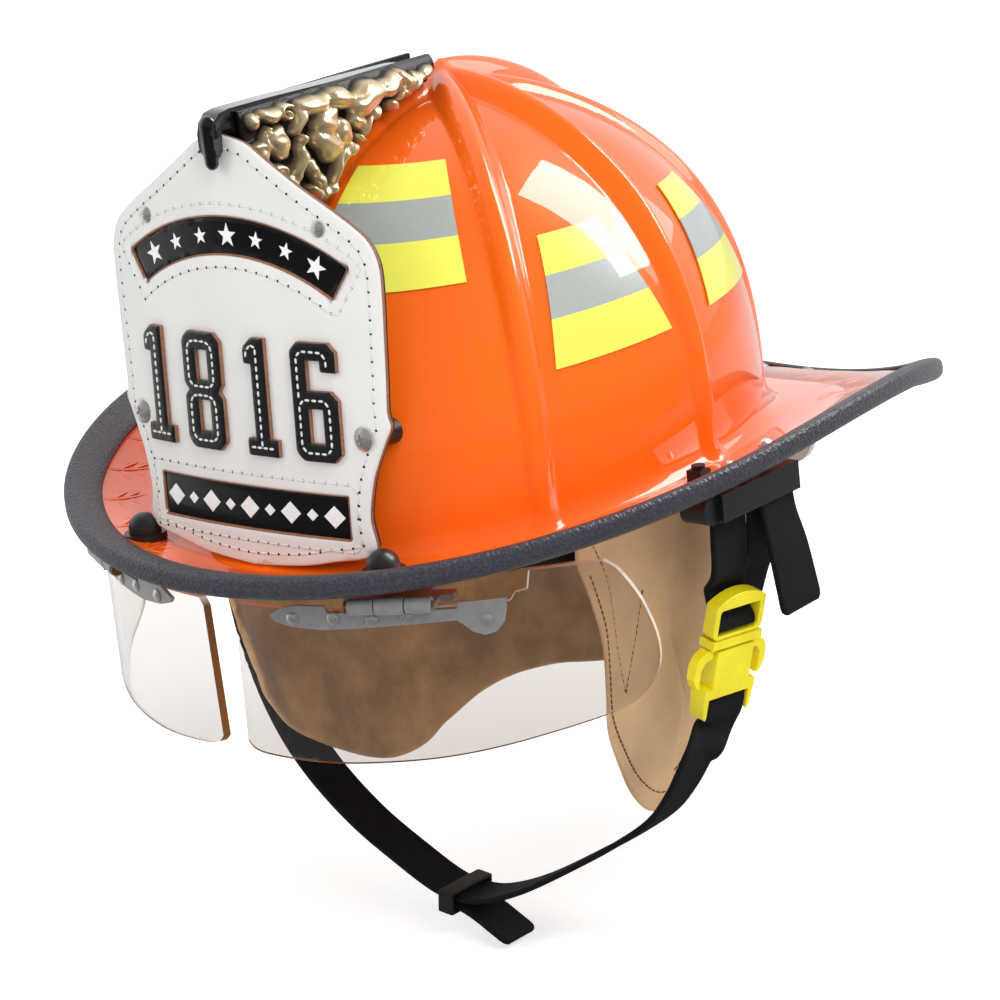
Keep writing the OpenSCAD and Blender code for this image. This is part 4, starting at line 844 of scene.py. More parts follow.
class HelmetSizes(bpy.types.PropertyGroup):
    """Sizes that a maker would change, in metres."""

    border_pitch: size_field("Border stitch", "Pitch of the sewn border of the leather", 0.0047, 0.002)
    number_pitch: size_field("Numeral stitch", "Pitch of the thread in the numerals", 0.0028, 0.002)
    thread: size_field("Thread radius", "Radius of the sewing thread", 0.00048, 0.0002)
    edge_round: size_field("Leather edge", "Radius of the burnished leather edges", 0.0009, 0.0002)
    vein: size_field("Brim vein", "Height of the raised lines on the brim", 0.0004, 0)
    cloth: size_field("Ear lap cloth", "Thickness of the lined cloth", 0.0024, 0.001)


class HelmetColours(bpy.types.PropertyGroup):
    """Main colours."""

    shell: colour_field("Shell", "Colour of the topcoat", "#FF6A14")
    buckle: colour_field("Buckle", "Colour of the buckle", "#EADB18")
    cloth: colour_field("Ear lap", "Colour of the ear lap's cloth", "#DAB285")


class HELMET_OT_finishes(bpy.types.Operator):
    """Makes the materials of the helmet"""

    bl_idname = "helmet.finishes"
    bl_label = "Finishes"

    def execute(self, context):
        colours = context.scene.helmet_colours
        for name, code, roughness, pattern, sockets in FINISHES:
            colour = linear(code) if code[0] == "#" else tuple(getattr(colours, code))
            finish_of(name, colour, roughness, pattern, **sockets)
        return {"FINISHED"}


# Camera: degrees round from the front to the left, up, and rolled; the point it looks at, its distance
# and its lens in mm
CAMERA_TURN, CAMERA_UP, CAMERA_ROLL = 42.0, 16.33, -6.27
CAMERA_AIM, CAMERA_AWAY, CAMERA_LENS = (0, 13.3, -40.9), 1435, 140.4
# the floor lies just under the lowest strap, in metres
FLOOR_Z = -0.2012


def seen_rays(tree):
    """The node of ray kinds, and a value of 1 for rays from the camera, straight or through a clear sheet."""
    ray = add(tree, "ShaderNodeLightPath", "Is Camera Ray").node
    seen = {0: ray.outputs["Is Camera Ray"], 1: ray.outputs["Is Transmission Ray"]}
    return ray, add(tree, "ShaderNodeMath", 0, seen, operation="MAXIMUM")


class HELMET_OT_stage(bpy.types.Operator):
    """Sets the camera at the photograph's angle, the floor and the lamps"""

    bl_idname = "helmet.stage"
    bl_label = "Stage"

    def execute(self, context):
        self.camera(context)
        self.floor(context)
        self.room(context)
        for name, where, aim, size, turn, power, use in LAMPS:
            lamp = bpy.data.lights.new(name, "AREA")
            lamp.shape, lamp.size, lamp.size_y, lamp.energy = "RECTANGLE", size[0], size[1], power
            holder = bpy.data.objects.new(name, lamp)
            way = (Vector(where) - Vector(aim)).to_track_quat("Z", "Y").to_matrix().to_4x4()
            spin = Matrix.Rotation(math.radians(turn), 4, "Z")
            holder.matrix_world = Matrix.Translation(where) @ way @ spin
            # a card is only there to be mirrored in the gloss, and a fill only to light
            holder.visible_diffuse = "lit" in use
            holder.visible_glossy = "mirrored" in use
            context.scene.collection.objects.link(holder)
        return {"FINISHED"}

    def camera(self, context):
        """Camera at the photograph's angle: its axes from turn and rise, then rolled about its view."""
        a, e, roll = CAMERA_TURN, CAMERA_UP, CAMERA_ROLL
        back = np.array([sind(a) * cosd(e), -cosd(a) * cosd(e), sind(e)])
        right = np.array([cosd(a), sind(a), 0.0])
        up = np.cross(back, right)
        right, up = cosd(roll) * right + sind(roll) * up, cosd(roll) * up - sind(roll) * right
        cam = bpy.data.cameras.new("Camera")
        cam.sensor_width, cam.lens, cam.clip_start, cam.clip_end = 36, CAMERA_LENS, 0.05, 50
        eye = bpy.data.objects.new("Camera", cam)
        at = (np.array(CAMERA_AIM) + back * CAMERA_AWAY) * MM
        turn = np.eye(4)
        turn[:3, 0], turn[:3, 1], turn[:3, 2], turn[:3, 3] = right, up, back, at
        eye.matrix_world = Matrix(turn.tolist())
        context.scene.collection.objects.link(eye)
        context.scene.camera = eye
        context.scene.view_settings.view_transform = "Standard"

    def floor(self, context):
        """White floor that keeps the object's shadow and is dark where the gloss mirrors its near side."""
        mat = bpy.data.materials.new("Floor, matt paint")
        mat.use_nodes = True
        tree = mat.node_tree
        shader = tree.nodes["Principled BSDF"]
        shader.inputs["Roughness"].default_value = 0.9
        shader.inputs["Specular IOR Level"].default_value = 0.1
        # seen directly it is lifted to white away from the object, and it keeps the object's shadow
        place = add(tree, "ShaderNodeTexCoord", "Object")
        far = add(tree, "ShaderNodeVectorMath", "Value", {0: place}, operation="LENGTH")
        far = {"Value": far, "From Min": 0.25, "From Max": 1.6, "To Min": 0.5, "To Max": 1.0}
        far = add(tree, "ShaderNodeMapRange", "Result", far, interpolation_type="SMOOTHSTEP")
        ray, seen = seen_rays(tree)
        seen = add(tree, "ShaderNodeMath", 0, {0: seen, 1: far}, operation="MULTIPLY")
        glow = add(tree, "ShaderNodeEmission", 0, {"Strength": seen})
        both = {0: shader.outputs[0], 1: glow}
        add(tree, "ShaderNodeAddShader", 0, both, tree.nodes["Material Output"].inputs[0])
        # in reflections its near side is dark, as an unlit room is
        behind = add(tree, "ShaderNodeVectorMath", "Value", {0: place, 1: AWAY}, operation="DOT_PRODUCT")
        behind = {"Value": behind, "From Min": -0.3, "From Max": 0.5}
        behind = add(tree, "ShaderNodeMapRange", "Result", behind, interpolation_type="SMOOTHSTEP")
        front = add(tree, "ShaderNodeMath", 0, {0: 1.0, 1: behind}, operation="SUBTRACT")
        dark = {0: front, 1: ray.outputs["Is Glossy Ray"]}
        dark = add(tree, "ShaderNodeMath", 0, dark, operation="MULTIPLY")
        paint = {0: dark, 6: linear("#F4F4F4"), 7: linear("#4A4A4A")}
        add(tree, "ShaderNodeMix", 2, paint, shader.inputs["Base Color"], data_type="RGBA")
        # rings of quads out to 14 m, and one face in the middle
        r = np.array([0.35, 0.8, 1.8, 5.0, 14.0])[:, None]
        t = np.arange(48) * 2 * np.pi / 48
        pts = stack(r * np.cos(t), r * np.sin(t), FLOOR_Z).reshape(-1, 3)
        mesh = bpy.data.meshes.new("Floor")
        mesh.from_pydata(pts.tolist(), [], quads(len(r), len(t), True).tolist() + [list(range(len(t)))])
        mesh.materials.append(mat)
        mesh.update()
        if mesh.polygons[0].normal.z < 0:
            mesh.flip_normals()
        floor = bpy.data.objects.new("Floor", mesh)
        context.scene.collection.objects.link(floor)

    def room(self, context):
        """White behind the object, a dim room in front of it, and white wherever it is seen directly."""
        world = bpy.data.worlds.new("Studio")
        context.scene.world = world
        world.use_nodes = True
        tree = world.node_tree
        tree.nodes["Background"].inputs["Color"].default_value = (1, 1, 1, 1)
        ray, strength = seen_rays(tree)
        way = add(tree, "ShaderNodeTexCoord", "Generated")
        behind = add(tree, "ShaderNodeVectorMath", "Value", {0: way, 1: AWAY}, operation="DOT_PRODUCT")
        behind = {"Value": behind, "From Min": -0.2, "From Max": 0.55, "To Min": 0.2, "To Max": 1.0}
        behind = add(tree, "ShaderNodeMapRange", "Result", behind, interpolation_type="SMOOTHSTEP")
        for kind, share in (("Is Glossy Ray", behind), ("Is Diffuse Ray", 0.5)):
            part = {0: ray.outputs[kind], 1: share}
            part = add(tree, "ShaderNodeMath", 0, part, operation="MULTIPLY")
            strength = add(tree, "ShaderNodeMath", 0, {0: strength, 1: part}, operation="MAXIMUM")
        tree.links.new(strength, tree.nodes["Background"].inputs["Strength"])


# level direction from the camera to behind the object
AWAY = (-0.669, 0.743, 0.0)
LAMPS = [
    # name, place, aim, size in metres, turn in degrees, power in watts, use
    ("Soft box over the left", (1.25, -0.55, 1.35), (0, 0, 0.02), (0.9, 1.3), 0, 20, "lit"),
    ("Soft box before the right", (-0.9, -1.7, 1.0), (0, 0, 0), (1.0, 1.2), 0, 15, "lit"),
    ("Soft box behind", (0.9, 1.5, 1.1), (0, 0, 0.05), (1.2, 0.8), 0, 10, "lit, mirrored"),
    ("Fill from the left", (1.9, -1.0, -0.05), (0, 0, -0.05), (0.8, 1.2), 0, 8, "lit"),
    ("Window card", (0.71, 0.73, 1.18), (0.08, -0.02, 0.05), (0.6, 1.25), -26, 30, "mirrored"),
]


class HELMET_OT_shell(bpy.types.Operator):
    """Moulds the shell, its ribs, the fillet to the brim and the raised veins of the brim"""

    bl_idname = "helmet.shell"
    bl_label = "Shell"

    def execute(self, context):
        # the columns crowd towards the ribs, which are crisp at their feet
        each = 64
        u = np.arange(each) / each
        u = u - 0.72 * np.sin(2 * np.pi * u) / (2 * np.pi)
        gaps = np.append(RIB_AT[1:], RIB_AT[0] + 360) - RIB_AT
        t = (RIB_AT[:, None] + gaps[:, None] * u).ravel()
        w = brim_w(t)
        rise = 90 * np.linspace(1 / 72, 1, 72, endpoint=False) ** 1.2
        outer = [dome_pt(t, a, rib(t, a)) for a in rise[2:]]
        corner = dome_pt(t, 0 * t, rib(t, 0 * t))
        # the brim starts 9 mm out from the foot
        start = 9 / w
        edge = brim_pt(t, start, 0)
        # the fillet is a quadratic curve from dome to brim with the foot as its corner
        fillet = [
            (1 - u) ** 2 * edge + 2 * u * (1 - u) * corner + u * u * outer[0]
            for u in np.linspace(0, 1, 10)[1:-1]
        ]
        brim = [brim_pt(t, start + (1 - start) * k, 0) for k in np.linspace(1, 0, 22)]
        low_brim = [brim_pt(t, k, SHELL_T) for k in np.linspace(0.1, 1, 10)]
        inner = [dome_pt(t, a, -SHELL_T + 0 * t) for a in (82, 72, 62, 52, 43, 34, 26, 18, 12, 7, 3.5, 1.2)]
        inner.append(dome_pt(t, 0 * t, -SHELL_T + 0 * t) - [0, 0, SHELL_T])
        rows = inner + low_brim + brim + fillet + outer
        verts, faces = cupola(rows, [dome_pt(0, 90, -SHELL_T), dome_pt(0, 90, rib(0, 90))])
        shell = put("shell", verts, faces, "Gloss composite, orange", sharp=60)
        dress(shell, "shell_orange", "outer_shell")
        self.veins(context.scene.helmet_sizes.vein / MM)
        return {"FINISHED"}

    def veins(self, high):
        """Raised lines: one runs along the edge, and leaf veins branch from lines across the brim.

        Each is a half-round bead that follows the brim's surface, thinner towards its ends."""
        lines = []
        for side in (1, -1):
            for t0, t1 in ((-77, -14), (24, 88)):
                span = np.linspace(t0, t1, 60)
                lines.append((90 + side * (span - 90), 0.74 + 0.03 * sind(span * 7)))
                for c in np.arange(t0 + 7, t1 - 4, 11.5):
                    u = np.linspace(0, 1, 14)
                    lines.append((90 + side * (c + 5 * u**1.5 - 90), 0.74 - 0.5 * u))
                    for v, lean in ((0.3, 4.2), (0.55, 3.6), (0.3, -3.2), (0.6, -2.6)):
                        at = c + 5 * v**1.5 + lean * u**0.8
                        lines.append((90 + side * (at - 90), 0.74 - 0.5 * v - 0.13 * u))
        made = []
        for az, k in lines:
            path = brim_pt(az, k, 0.25)
            flat = np.zeros_like(path)
            flat[:, :2] = np.gradient(path[:, :2], axis=0)[:, ::-1] * [1, -1]
            taper = np.sqrt(np.sin(np.pi * np.linspace(0.04, 0.96, len(path))))
            section = circle(1, 10)[None] * np.stack([1.9 * taper, high * taper], -1)[:, None]
            made.append(sweep(path, section, flat)[:2])
        verts, faces = joined(made)
        veins = put("brim_veins", verts, faces, "Gloss composite, orange", sharp=None)
        dress(veins, "shell_orange")


class HELMET_OT_trim(bpy.types.Operator):
    """Draws the rubber trim over the brim's edge"""

    bl_idname = "helmet.trim"
    bl_label = "Edge trim"

    def execute(self, context):
        # The section is in mm out from the brim's edge and up from its middle: a bead round the edge,
        # and two lips that grip the brim on both sides of a slot.
        n, r, reach, slot = 432, 4.3, 2.8, SHELL_T / 2 + 0.35
        arc = [
            [-11.0, slot + 1.4], [-9.2, r - 0.3], [-5, r], [-0.5, r * 0.93], [1.9, r * 0.68],
            [reach, r * 0.25], [reach, -r * 0.3], [1.9, -r * 0.7], [-0.5, -r * 0.95], [-5, -r],
            [-9.2, 0.3 - r], [-11.0, -slot - 1.4],
        ]
        arc = curve(arc, 4)
        arc[:, 0] = np.minimum(arc[:, 0], reach)
        section = np.concatenate([[[-10.6, slot]], arc, [[-10.6, -slot], [0.35, -slot], [0.35, slot]]])
        t = (np.arange(n) * 360 / n - 90)[:, None]
        verts = brim_pt(t, 1 + section[:, 0] / brim_w(t), SHELL_T / 2 - section[:, 1])
        m = len(section)
        grid = np.arange(n * m).reshape(n, m)
        a, b = grid, np.roll(grid, -1, 0)
        faces = np.stack([a, np.roll(a, -1, 1), np.roll(b, -1, 1), b], -1).reshape(-1, 4).tolist()
        trim = put("trim", verts, faces, "Extruded rubber, slate", sharp=50)
        dress(trim, "edge_rubber", "edge_trim")
        return {"FINISHED"}


# half outline of the leather front, from its peak down to its foot
SHIELD = [
    [0, 149], [11, 146.5], [19, 141.5], [33, 132.5], [44, 126], [54, 119.5], [59.5, 114.5], [62.5, 107.5],
    [63, 98], [62.5, 81], [62, 66], [61.6, 57], [62.6, 52.3], [60.4, 47.5], [57, 40], [54.2, 32.5],
    [52, 20], [52.9, 8], [36, 3.8], [21, 1], [0, -0.6],
]


def shield_outline(k):
    """Half outline smoothed by a curve, scaled a little about its middle and mirrored."""
    half = curve(SHIELD, 4)
    half = np.stack([half[:, 0] * k, (half[:, 1] - 70) * (k + 0.002) + 70], -1)
    return np.concatenate([half, half[-2:0:-1] * [-1, 1]])[::-1]


def arc_outline(grow=0.0, steps=30):
    """Band between two arcs about one centre, its ends radial, grown by some mm all round."""
    r1, r2, c = 80.6 - grow, 93.6 + grow, ARC_Z
    half = [math.degrees(math.radians(33) + grow / r) for r in (r1, r2)]
    a1, a2 = (np.linspace(-h, h, steps) for h in half)
    low = np.stack([r1 * sind(a1), c + r1 * cosd(a1)], -1)
    top = np.stack([r2 * sind(a2), c + r2 * cosd(a2)], -1)[::-1]
    return np.concatenate([low, top])


def box_outline(w, h, at):
    """Rectangle w by h about a point."""
    return np.array([[-w, -h], [w, -h], [w, h], [-w, h]]) / 2 + at


def inset_line(loop, d):
    """Line inside a closed outline at a distance from it: points moved along their normals,
    without those that come nearer to another part of the outline."""
    p = even(loop, 1.0, True)
    q = p + to_left(p) * d
    return q[rim_distance(q, [p]) > abs(d) * 0.97]


def chamfered(x0, z0, x1, z1, c):
    """Rectangle between two corners, with every corner cut off by c."""
    return [
        [x0 + c, z0], [x1 - c, z0], [x1, z0 + c], [x1, z1 - c], [x1 - c, z1], [x0 + c, z1], [x0, z1 - c],
        [x0, z0 + c],
    ]


# depth behind the face's front skin, and thickness, of the inlays and of the foil on them
INLAY_DEPTH, INLAY_T, FOIL_DEPTH, FOIL_T = FACE_T - 1.6, 1.4, FACE_T - 1.78, 0.16
# height of the upper inlay's centre of arc, radius of its middle line, and height of the lower inlay
ARC_Z, ARC_R, BOX_Z = 27.2, 87.1, 20
# middle and foot of the row of numerals, their pitch, half width and thickness, then their outlines in
# mm from the lower left corner
NUMERAL_X, NUMERAL_Z, NUMERAL_PITCH, NUMERAL_HALF_W, NUMERAL_T = -3, 39.3, 25.4, 9.25, 2.4
ONE = [
    [0, 0], [13.4, 0], [13.4, 6], [10, 6], [10, 41], [4.4, 41], [0.6, 37.6], [0.6, 31.8], [3.8, 31.8],
    [3.8, 6], [0, 6],
]
SIX = [
    [3, 0], [15.5, 0], [18.5, 3], [18.5, 21.4], [15.5, 24.4], [6.2, 24.4], [6.2, 34.8], [12.3, 34.8],
    [12.3, 31], [18.5, 31], [18.5, 38], [15.5, 41], [3, 41], [0, 38], [0, 3],
]
EIGHT = [
    [3, 0], [15.5, 0], [18.5, 3], [18.5, 18], [16.6, 20.5], [18.5, 23], [18.5, 38], [15.5, 41], [3, 41],
    [0, 38], [0, 23], [1.9, 20.5], [0, 18], [0, 3],
]
SCREW_AT, RIVET_AT = (52.2, 48.0), (40.3, 118.6)
# outline, holes, sewn lines (points, closed) and shift of each numeral
NUMERALS = {
    "1": (
        ONE,
        [],
        [
            ([[2.2, 33.9], [2.6, 36.4], [4.6, 38.6], [6.9, 38.6], [6.9, 3.1]], False),
            ([[1.6, 3.1], [12.2, 3.1]], False),
        ],
        3.9,
    ),
    "6": (
        SIX,
        [box_outline(6.1, 12, [9.25, 12.2])],
        [
            (chamfered(3.1, 3.1, 15.4, 21.3, 1.8), True),
            ([[3.1, 21.5], [3.1, 36.1], [4.9, 37.9], [13.6, 37.9], [15.4, 36.1], [15.4, 32.6]], False),
        ],
        0,
    ),
    "8": (
        EIGHT,
        [box_outline(6.1, 11, [9.25, 11.7]), box_outline(6.1, 10.8, [9.25, 29.4])],
        [(chamfered(3.1, 3.1, 15.4, 18.9, 1.8), True), (chamfered(3.1, 22.0, 15.4, 37.9, 1.8), True)],
        0,
    ),
}


class HELMET_OT_leather(bpy.types.Operator):
    """Cuts, dyes and sews the leather front with its inlays and numerals"""

    bl_idname = "helmet.leather"
    bl_label = "Leather front"

    def execute(self, context):
        sizes = context.scene.helmet_sizes
        edge = sizes.edge_round / MM
        holes = [circle(2.2, 20)[::-1] + [s * SCREW_AT[0], SCREW_AT[1]] for s in (1, -1)]
        holes += [circle(1.6, 16)[::-1] + [s * RIVET_AT[0], RIVET_AT[1]] for s in (1, -1)]

        def behind(x, z, d):
            return front_pt(x, z, FACE_T + d)

        def sunk(x, z, d):
            return front_pt(x, z, INLAY_DEPTH + d)

        v, f, part = cut_piece(shield_outline(0.986), holes, behind, BACKING_T, 4, 0.4, 0.5)
        backing = put("backing_board", v, f, "Backing leather, black")
        dress(backing, "leather_black", "leather_backing")

        face = shield_outline(0.994)
        arc, low = arc_outline(), split(box_outline(88, 15.2, [0, BOX_Z]), 1.5)
        v, f, part = cut_piece(face, [*holes, arc[::-1], low[::-1]], front_pt, FACE_T, 3, edge)
        mats = ["Painted leather, white", "Cut leather, natural"]
        skin = put("leather_skin", v, f, mats, index=np.array(part) == 1)
        dress(skin, "leather_white", "leather_face")

        for name, shape, node in (
            ("arc_inlay", arc_outline(-0.3), "upper_inlay"),
            ("box_inlay", split(box_outline(87.4, 14.6, [0, BOX_Z]), 1.5), "lower_inlay"),
        ):
            v, f, part = cut_piece(shape, [], sunk, INLAY_T, 2, 0.3)
            dress(put(name, v, f, "Inlay film, black gloss"), "leather_gloss", node)
        self.lips(arc, low)
        self.marks()
        self.numerals(sizes)
        self.seams(sizes, face)
        return {"FINISHED"}

    def lips(self, arc, low):
        """Raw edge of the leather round both inlays: a narrow bevel carried along each opening."""
        made = []
        for loop in (arc, low):
            path = even(loop, 1.5, True)
            side = to_left(path)
            if inside(path[:1] + side[:1] * 2, path)[0]:
                side = -side
            rows = [
                front_pt(*(path + side * k).T, d)
                for k, d in ((0.3, -0.02), (0.05, -0.05), (-0.22, 0.25), (-0.5, 1.5))
            ]
            made.append((np.stack(rows, 1), quads(len(path), 4, True)))
        verts, faces = joined(made)
        lips = put("inlay_lips", verts, faces, "Cut leather, natural", sharp=None, closed=False)
        dress(lips, "leather_white")

    def marks(self):
        """Plain white stars on the arc and lozenges on the box, cut from foil."""
        made = []

        def foil(x, z, d):
            return front_pt(x, z, FOIL_DEPTH + d)

        for k in range(-3, 4):
            a = 8.6 * k
            b = np.arange(10) * 36 + a
            # every third star is large; its corners lie on two circles by turns
            r = np.where(np.arange(10) % 2 == 0, *((4.3, 1.75) if k % 3 == 0 else (3.1, 1.25)))
            at = [ARC_R * sind(a), ARC_Z + ARC_R * cosd(a)]
            star = np.stack([r * sind(b), r * cosd(b)], -1)[::-1] + at
            made.append(cut_piece(star, [], foil, FOIL_T, 1.2, 0.0)[:2])
        for k in range(-4, 5):
            w, h = (4.4, 3.9) if k % 2 == 0 else (2.4, 2.1)
            lozenge = np.array([[-w, 0], [0, -h], [w, 0], [0, h]]) + [9.4 * k, BOX_Z]
            made.append(cut_piece(lozenge, [], foil, FOIL_T, 1.5, 0.0)[:2])
        verts, faces = joined(made)
        dress(put("foil_marks", verts, faces, "Foil, white", sharp=20), "leather_gloss")

    def numerals(self, sizes):
        """Thick cut numerals on the face, each with a line of thread sewn along its strokes."""

        def top(x, z, d):
            return front_pt(x, z, d - NUMERAL_T)

        mats = ["Patent leather, black", "Cut leather, natural"]
        pitch, thread_r = sizes.number_pitch / MM, sizes.thread / MM
        for i, n in enumerate("1816"):
            shape, holes, lines, shift = NUMERALS[n]
            at = np.array([NUMERAL_X + (i - 1.5) * NUMERAL_PITCH - NUMERAL_HALF_W + shift, NUMERAL_Z])
            outline = split(np.array(shape, float) + at, 1.0)
            holes = [split(h[::-1] + at, 1.0) for h in holes]
            v, f, part = cut_piece(outline, holes, top, NUMERAL_T, 1.6, 0.8)
            piece = put(f"numeral_{i + 1}", v, f, mats, index=np.array(part) == 1)
            dress(piece, "leather_gloss", f"number_{i + 1}")
            paths = [(np.array(p, float) + at, c) for p, c in lines]
            v, f = stitches(paths, top, pitch, pitch * 0.72, thread_r)
            dress(put(f"numeral_{i + 1}_thread", v, f, "Waxed thread, white", sharp=None), "leather_white")

    def seams(self, sizes, face):
        """Sewn borders: white thread drawn down between needle holes."""
        pitch = sizes.border_pitch / MM
        borders = [
            (inset_line(face, 4.2)[::-1], True),
            (arc_outline(4.4, 40), True),
            (split(box_outline(96.5, 23.6, [0, BOX_Z]), 0.5), True),
        ]
        v, f = stitches(borders, front_pt, pitch, pitch * 0.8, sizes.thread / MM * 0.8, 0.3)
        dress(put("border_thread", v, f, "Waxed thread, white", sharp=None), "leather_white")
        # the holes lie at the ends of the stitches
        v, f = dots([(even(p, pitch, c), c) for p, c in borders], front_pt, pitch, 0.52)
        dress(put("needle_holes", v, f, "Needle hole", sharp=None, closed=False), "leather_black")


def scroll(y, z, centre, r, turns, thick, high, start, way):
    """Height field of a rolled stem, round in section: a spiral whose radius and thickness shrink inwards."""
    a = np.linspace(0, turns * 2 * np.pi, int(26 * turns))
    k = 1 - 0.8 * a / a[-1]
    py, pz = centre[0] + r * k * np.cos(way * a + start), centre[1] + r * k * np.sin(way * a + start)
    q = np.hypot(y[..., None] - py, z[..., None] - pz) / (thick * (0.55 + 0.45 * k))
    return ball(q.min(-1), high)


def ball(q, high):
    """Height of a round form at q, from 0 at its middle to 1 at its foot."""
    return np.where(q < 1, high * np.sqrt(np.maximum(1 - q**2, 0)), 0)


# Relief in mm: its front end and length along Y, its top, the plane it grows from and its reach outward
RELIEF_Y, RELIEF_LENGTH, RELIEF_TOP, RELIEF_X, RELIEF_OUT = -101.6, 97.4, 129.3, 3.7, 12.6
# Y where the relief's lower edge leaves the dome
RELIEF_STEP = -72


def relief_low(y):
    """Lower edge of the relief: a slope behind the leather, then clear of the front rib from 43 degrees
    of rise up to the crown."""
    a = 43 + (y - RELIEF_STEP) / 68 * 38
    on_dome = dome_pt(-90, a, 0 * a)[..., 2] + np.maximum(6.2, rib(-90, a) + 3.4)
    return np.where(y < RELIEF_STEP, 90.5 + (RELIEF_STEP - y) * 0.22, on_dome)


class HELMET_OT_holder(bpy.types.Operator):
    """Casts the holder of the leather front with its gilded leaves and berries"""

    bl_idname = "helmet.holder"
    bl_label = "Holder and relief"

    def execute(self, context):
        refined("holder", "front_holder", "Lacquered casting, black", "holder_black", 1.3, 3)
        rows, cols = 250, 92
        u, v = np.meshgrid(np.linspace(0, 1, rows), np.linspace(0, 1, cols), indexing="ij")
        y = RELIEF_Y + RELIEF_LENGTH * u
        low = relief_low(y)
        top = RELIEF_TOP + 0.2 * np.sin(np.pi * u)
        z = low + (top - low) * v
        h = self.form(y, z)
        # the forms sink to the ground over the last 1.6 mm before the rim
        rim = np.minimum(np.minimum(v, 1 - v) * (top - low), np.minimum(u, 1 - u) * RELIEF_LENGTH)
        h = h * np.clip(rim / 1.6, 0.0, 1) ** 0.5
        envelope = RELIEF_OUT * (0.45 + 0.55 * np.sin(np.pi * (0.06 + 0.88 * u)) ** 0.6)
        ground = 1.0 + 0.3 * envelope * np.sin(np.pi * np.clip(v, 0.02, 0.98)) ** 0.5
        # a soft limit keeps the tallest bosses round
        tall = (ground + h * envelope / RELIEF_OUT) / (envelope * 1.06)
        out = envelope * 1.06 * tall / (1 + tall**5) ** 0.2
        parts, raised = [], []
        for s in (1, -1):
            face, back = stack(s * (RELIEF_X + out), y, z), stack(s * (RELIEF_X + 0 * out), y, z)
            parts.append(slab(face, back) if s < 0 else slab(back, face))
            # the higher the gilt, the paler: wear rubs the tops, and painted shade darkens the hollows
            height_wear_and_shade = np.clip((h - 1.5) / 5.5, 0, 1).ravel()
            raised += [height_wear_and_shade, 0 * height_wear_and_shade] if s < 0 else [0 * height_wear_and_shade, height_wear_and_shade]
        verts, faces = joined(parts)
        marks = {"raised": np.concatenate(raised)}
        piece = put("gilded_relief", verts, faces, "Gilded casting", sharp=None, attributes=marks)
        dress(piece, "relief_gilt", "crest_relief")
        return {"FINISHED"}

    def form(self, y, z):
        """Round bosses like rolled leaves, with curls and berries between them.

        A boss is an ellipse in plan, a dome with flutes in section, and its far end dips under
        the next one."""
        h = np.zeros_like(y)
        # a slow warp, or the ellipses look drawn with a compass
        warp_y = 0.9 * np.sin(z / 2.3 + 1) + 0.4 * np.sin(z / 1.1)
        warp_z = 0.8 * np.sin(y / 2.9) + 0.35 * np.sin(y / 1.3 + 2)
        y, z = y + warp_y, z + warp_z
        for cy, cz, length, width, turn, high in BOSSES:
            along = ((y - cy) * cosd(turn) + (z - cz) * sind(turn)) / length
            over = ((z - cz) * cosd(turn) - (y - cy) * sind(turn)) / width
            q = along**2 + over**2
            # flutes fan out from the root, as on a rolled leaf
            flute = 0.07 * np.cos(3.5 * np.pi * over / (1.35 + 0.5 * along)) * np.clip(1.1 - along, 0, 1)
            h = np.maximum(h, high * np.maximum(1 - q, 0) ** 0.5 * (1 - 0.28 * along + flute))
        for centre, r, turns, thick, start, way in CURLS:
            h = np.maximum(h, scroll(y, z, centre, r, turns, thick, 8.0, start, way))
        for cy, cz, r in BERRIES:
            q = np.hypot(y - cy, z - cz) / r
            h = np.maximum(h, 5.5 * (q < 1) + ball(q, 1.6 * r))
        # the cast is soft: each height is averaged with its neighbours, three times over
        for _ in range(3):
            h = (np.roll(h, 1, 0) + np.roll(h, -1, 0) + np.roll(h, 1, 1) + np.roll(h, -1, 1) + 2 * h) / 6
        return h


BOSSES = [
    # centre in Y and Z, half length, half width, turn in degrees, height
    (-45, 122.5, 10.5, 5.6, 4, 10.6), (-33.5, 124.6, 8.0, 3.4, 24, 9.0), (-24.5, 123.2, 3.4, 6.6, 24, 9.4),
    (-18.5, 122.4, 5.0, 3.4, 60, 7.6), (-57.5, 124.6, 7.0, 4.4, 0, 8.4), (-70, 125.6, 9.5, 3.4, 6, 8.6),
    (-78.5, 121.5, 5.4, 3.4, 60, 8.0), (-66, 118.4, 6.4, 5.6, -20, 10.4),
    (-67.5, 111.2, 8.2, 5.4, -38, 10.6), (-59.5, 112.6, 4.6, 6.2, -24, 9.4),
    (-63.2, 101.8, 2.2, 8.6, -32, 8.0), (-58.6, 104.6, 2.0, 6.4, -22, 7.0),
    (-80.8, 107.6, 3.4, 7.2, -12, 8.6), (-74.5, 103.5, 3.2, 5.4, 30, 7.6), (-88.6, 116.6, 5.2, 6.4, 0, 9.0),
    (-84.5, 100.5, 3.8, 5.2, 10, 7.8), (-91.5, 105.5, 4.4, 4.8, 0, 8.4), (-97, 113, 3.6, 5.4, 0, 8.2),
    (-90, 126, 6.4, 2.6, 8, 7.6), (-98.5, 125, 3.2, 3.2, 0, 7.0), (-46.5, 113.6, 5.8, 2.0, 38, 6.8),
    (-41, 116.2, 4.2, 2.6, 30, 7.2), (-50.5, 116.2, 4.4, 3.4, 0, 7.0), (-71.5, 95, 5.4, 3.4, 10, 7.4),
    (-90, 96.5, 5.0, 3.0, 0, 7.0), (-12.5, 124.8, 5.5, 2.6, 12, 6.6),
]
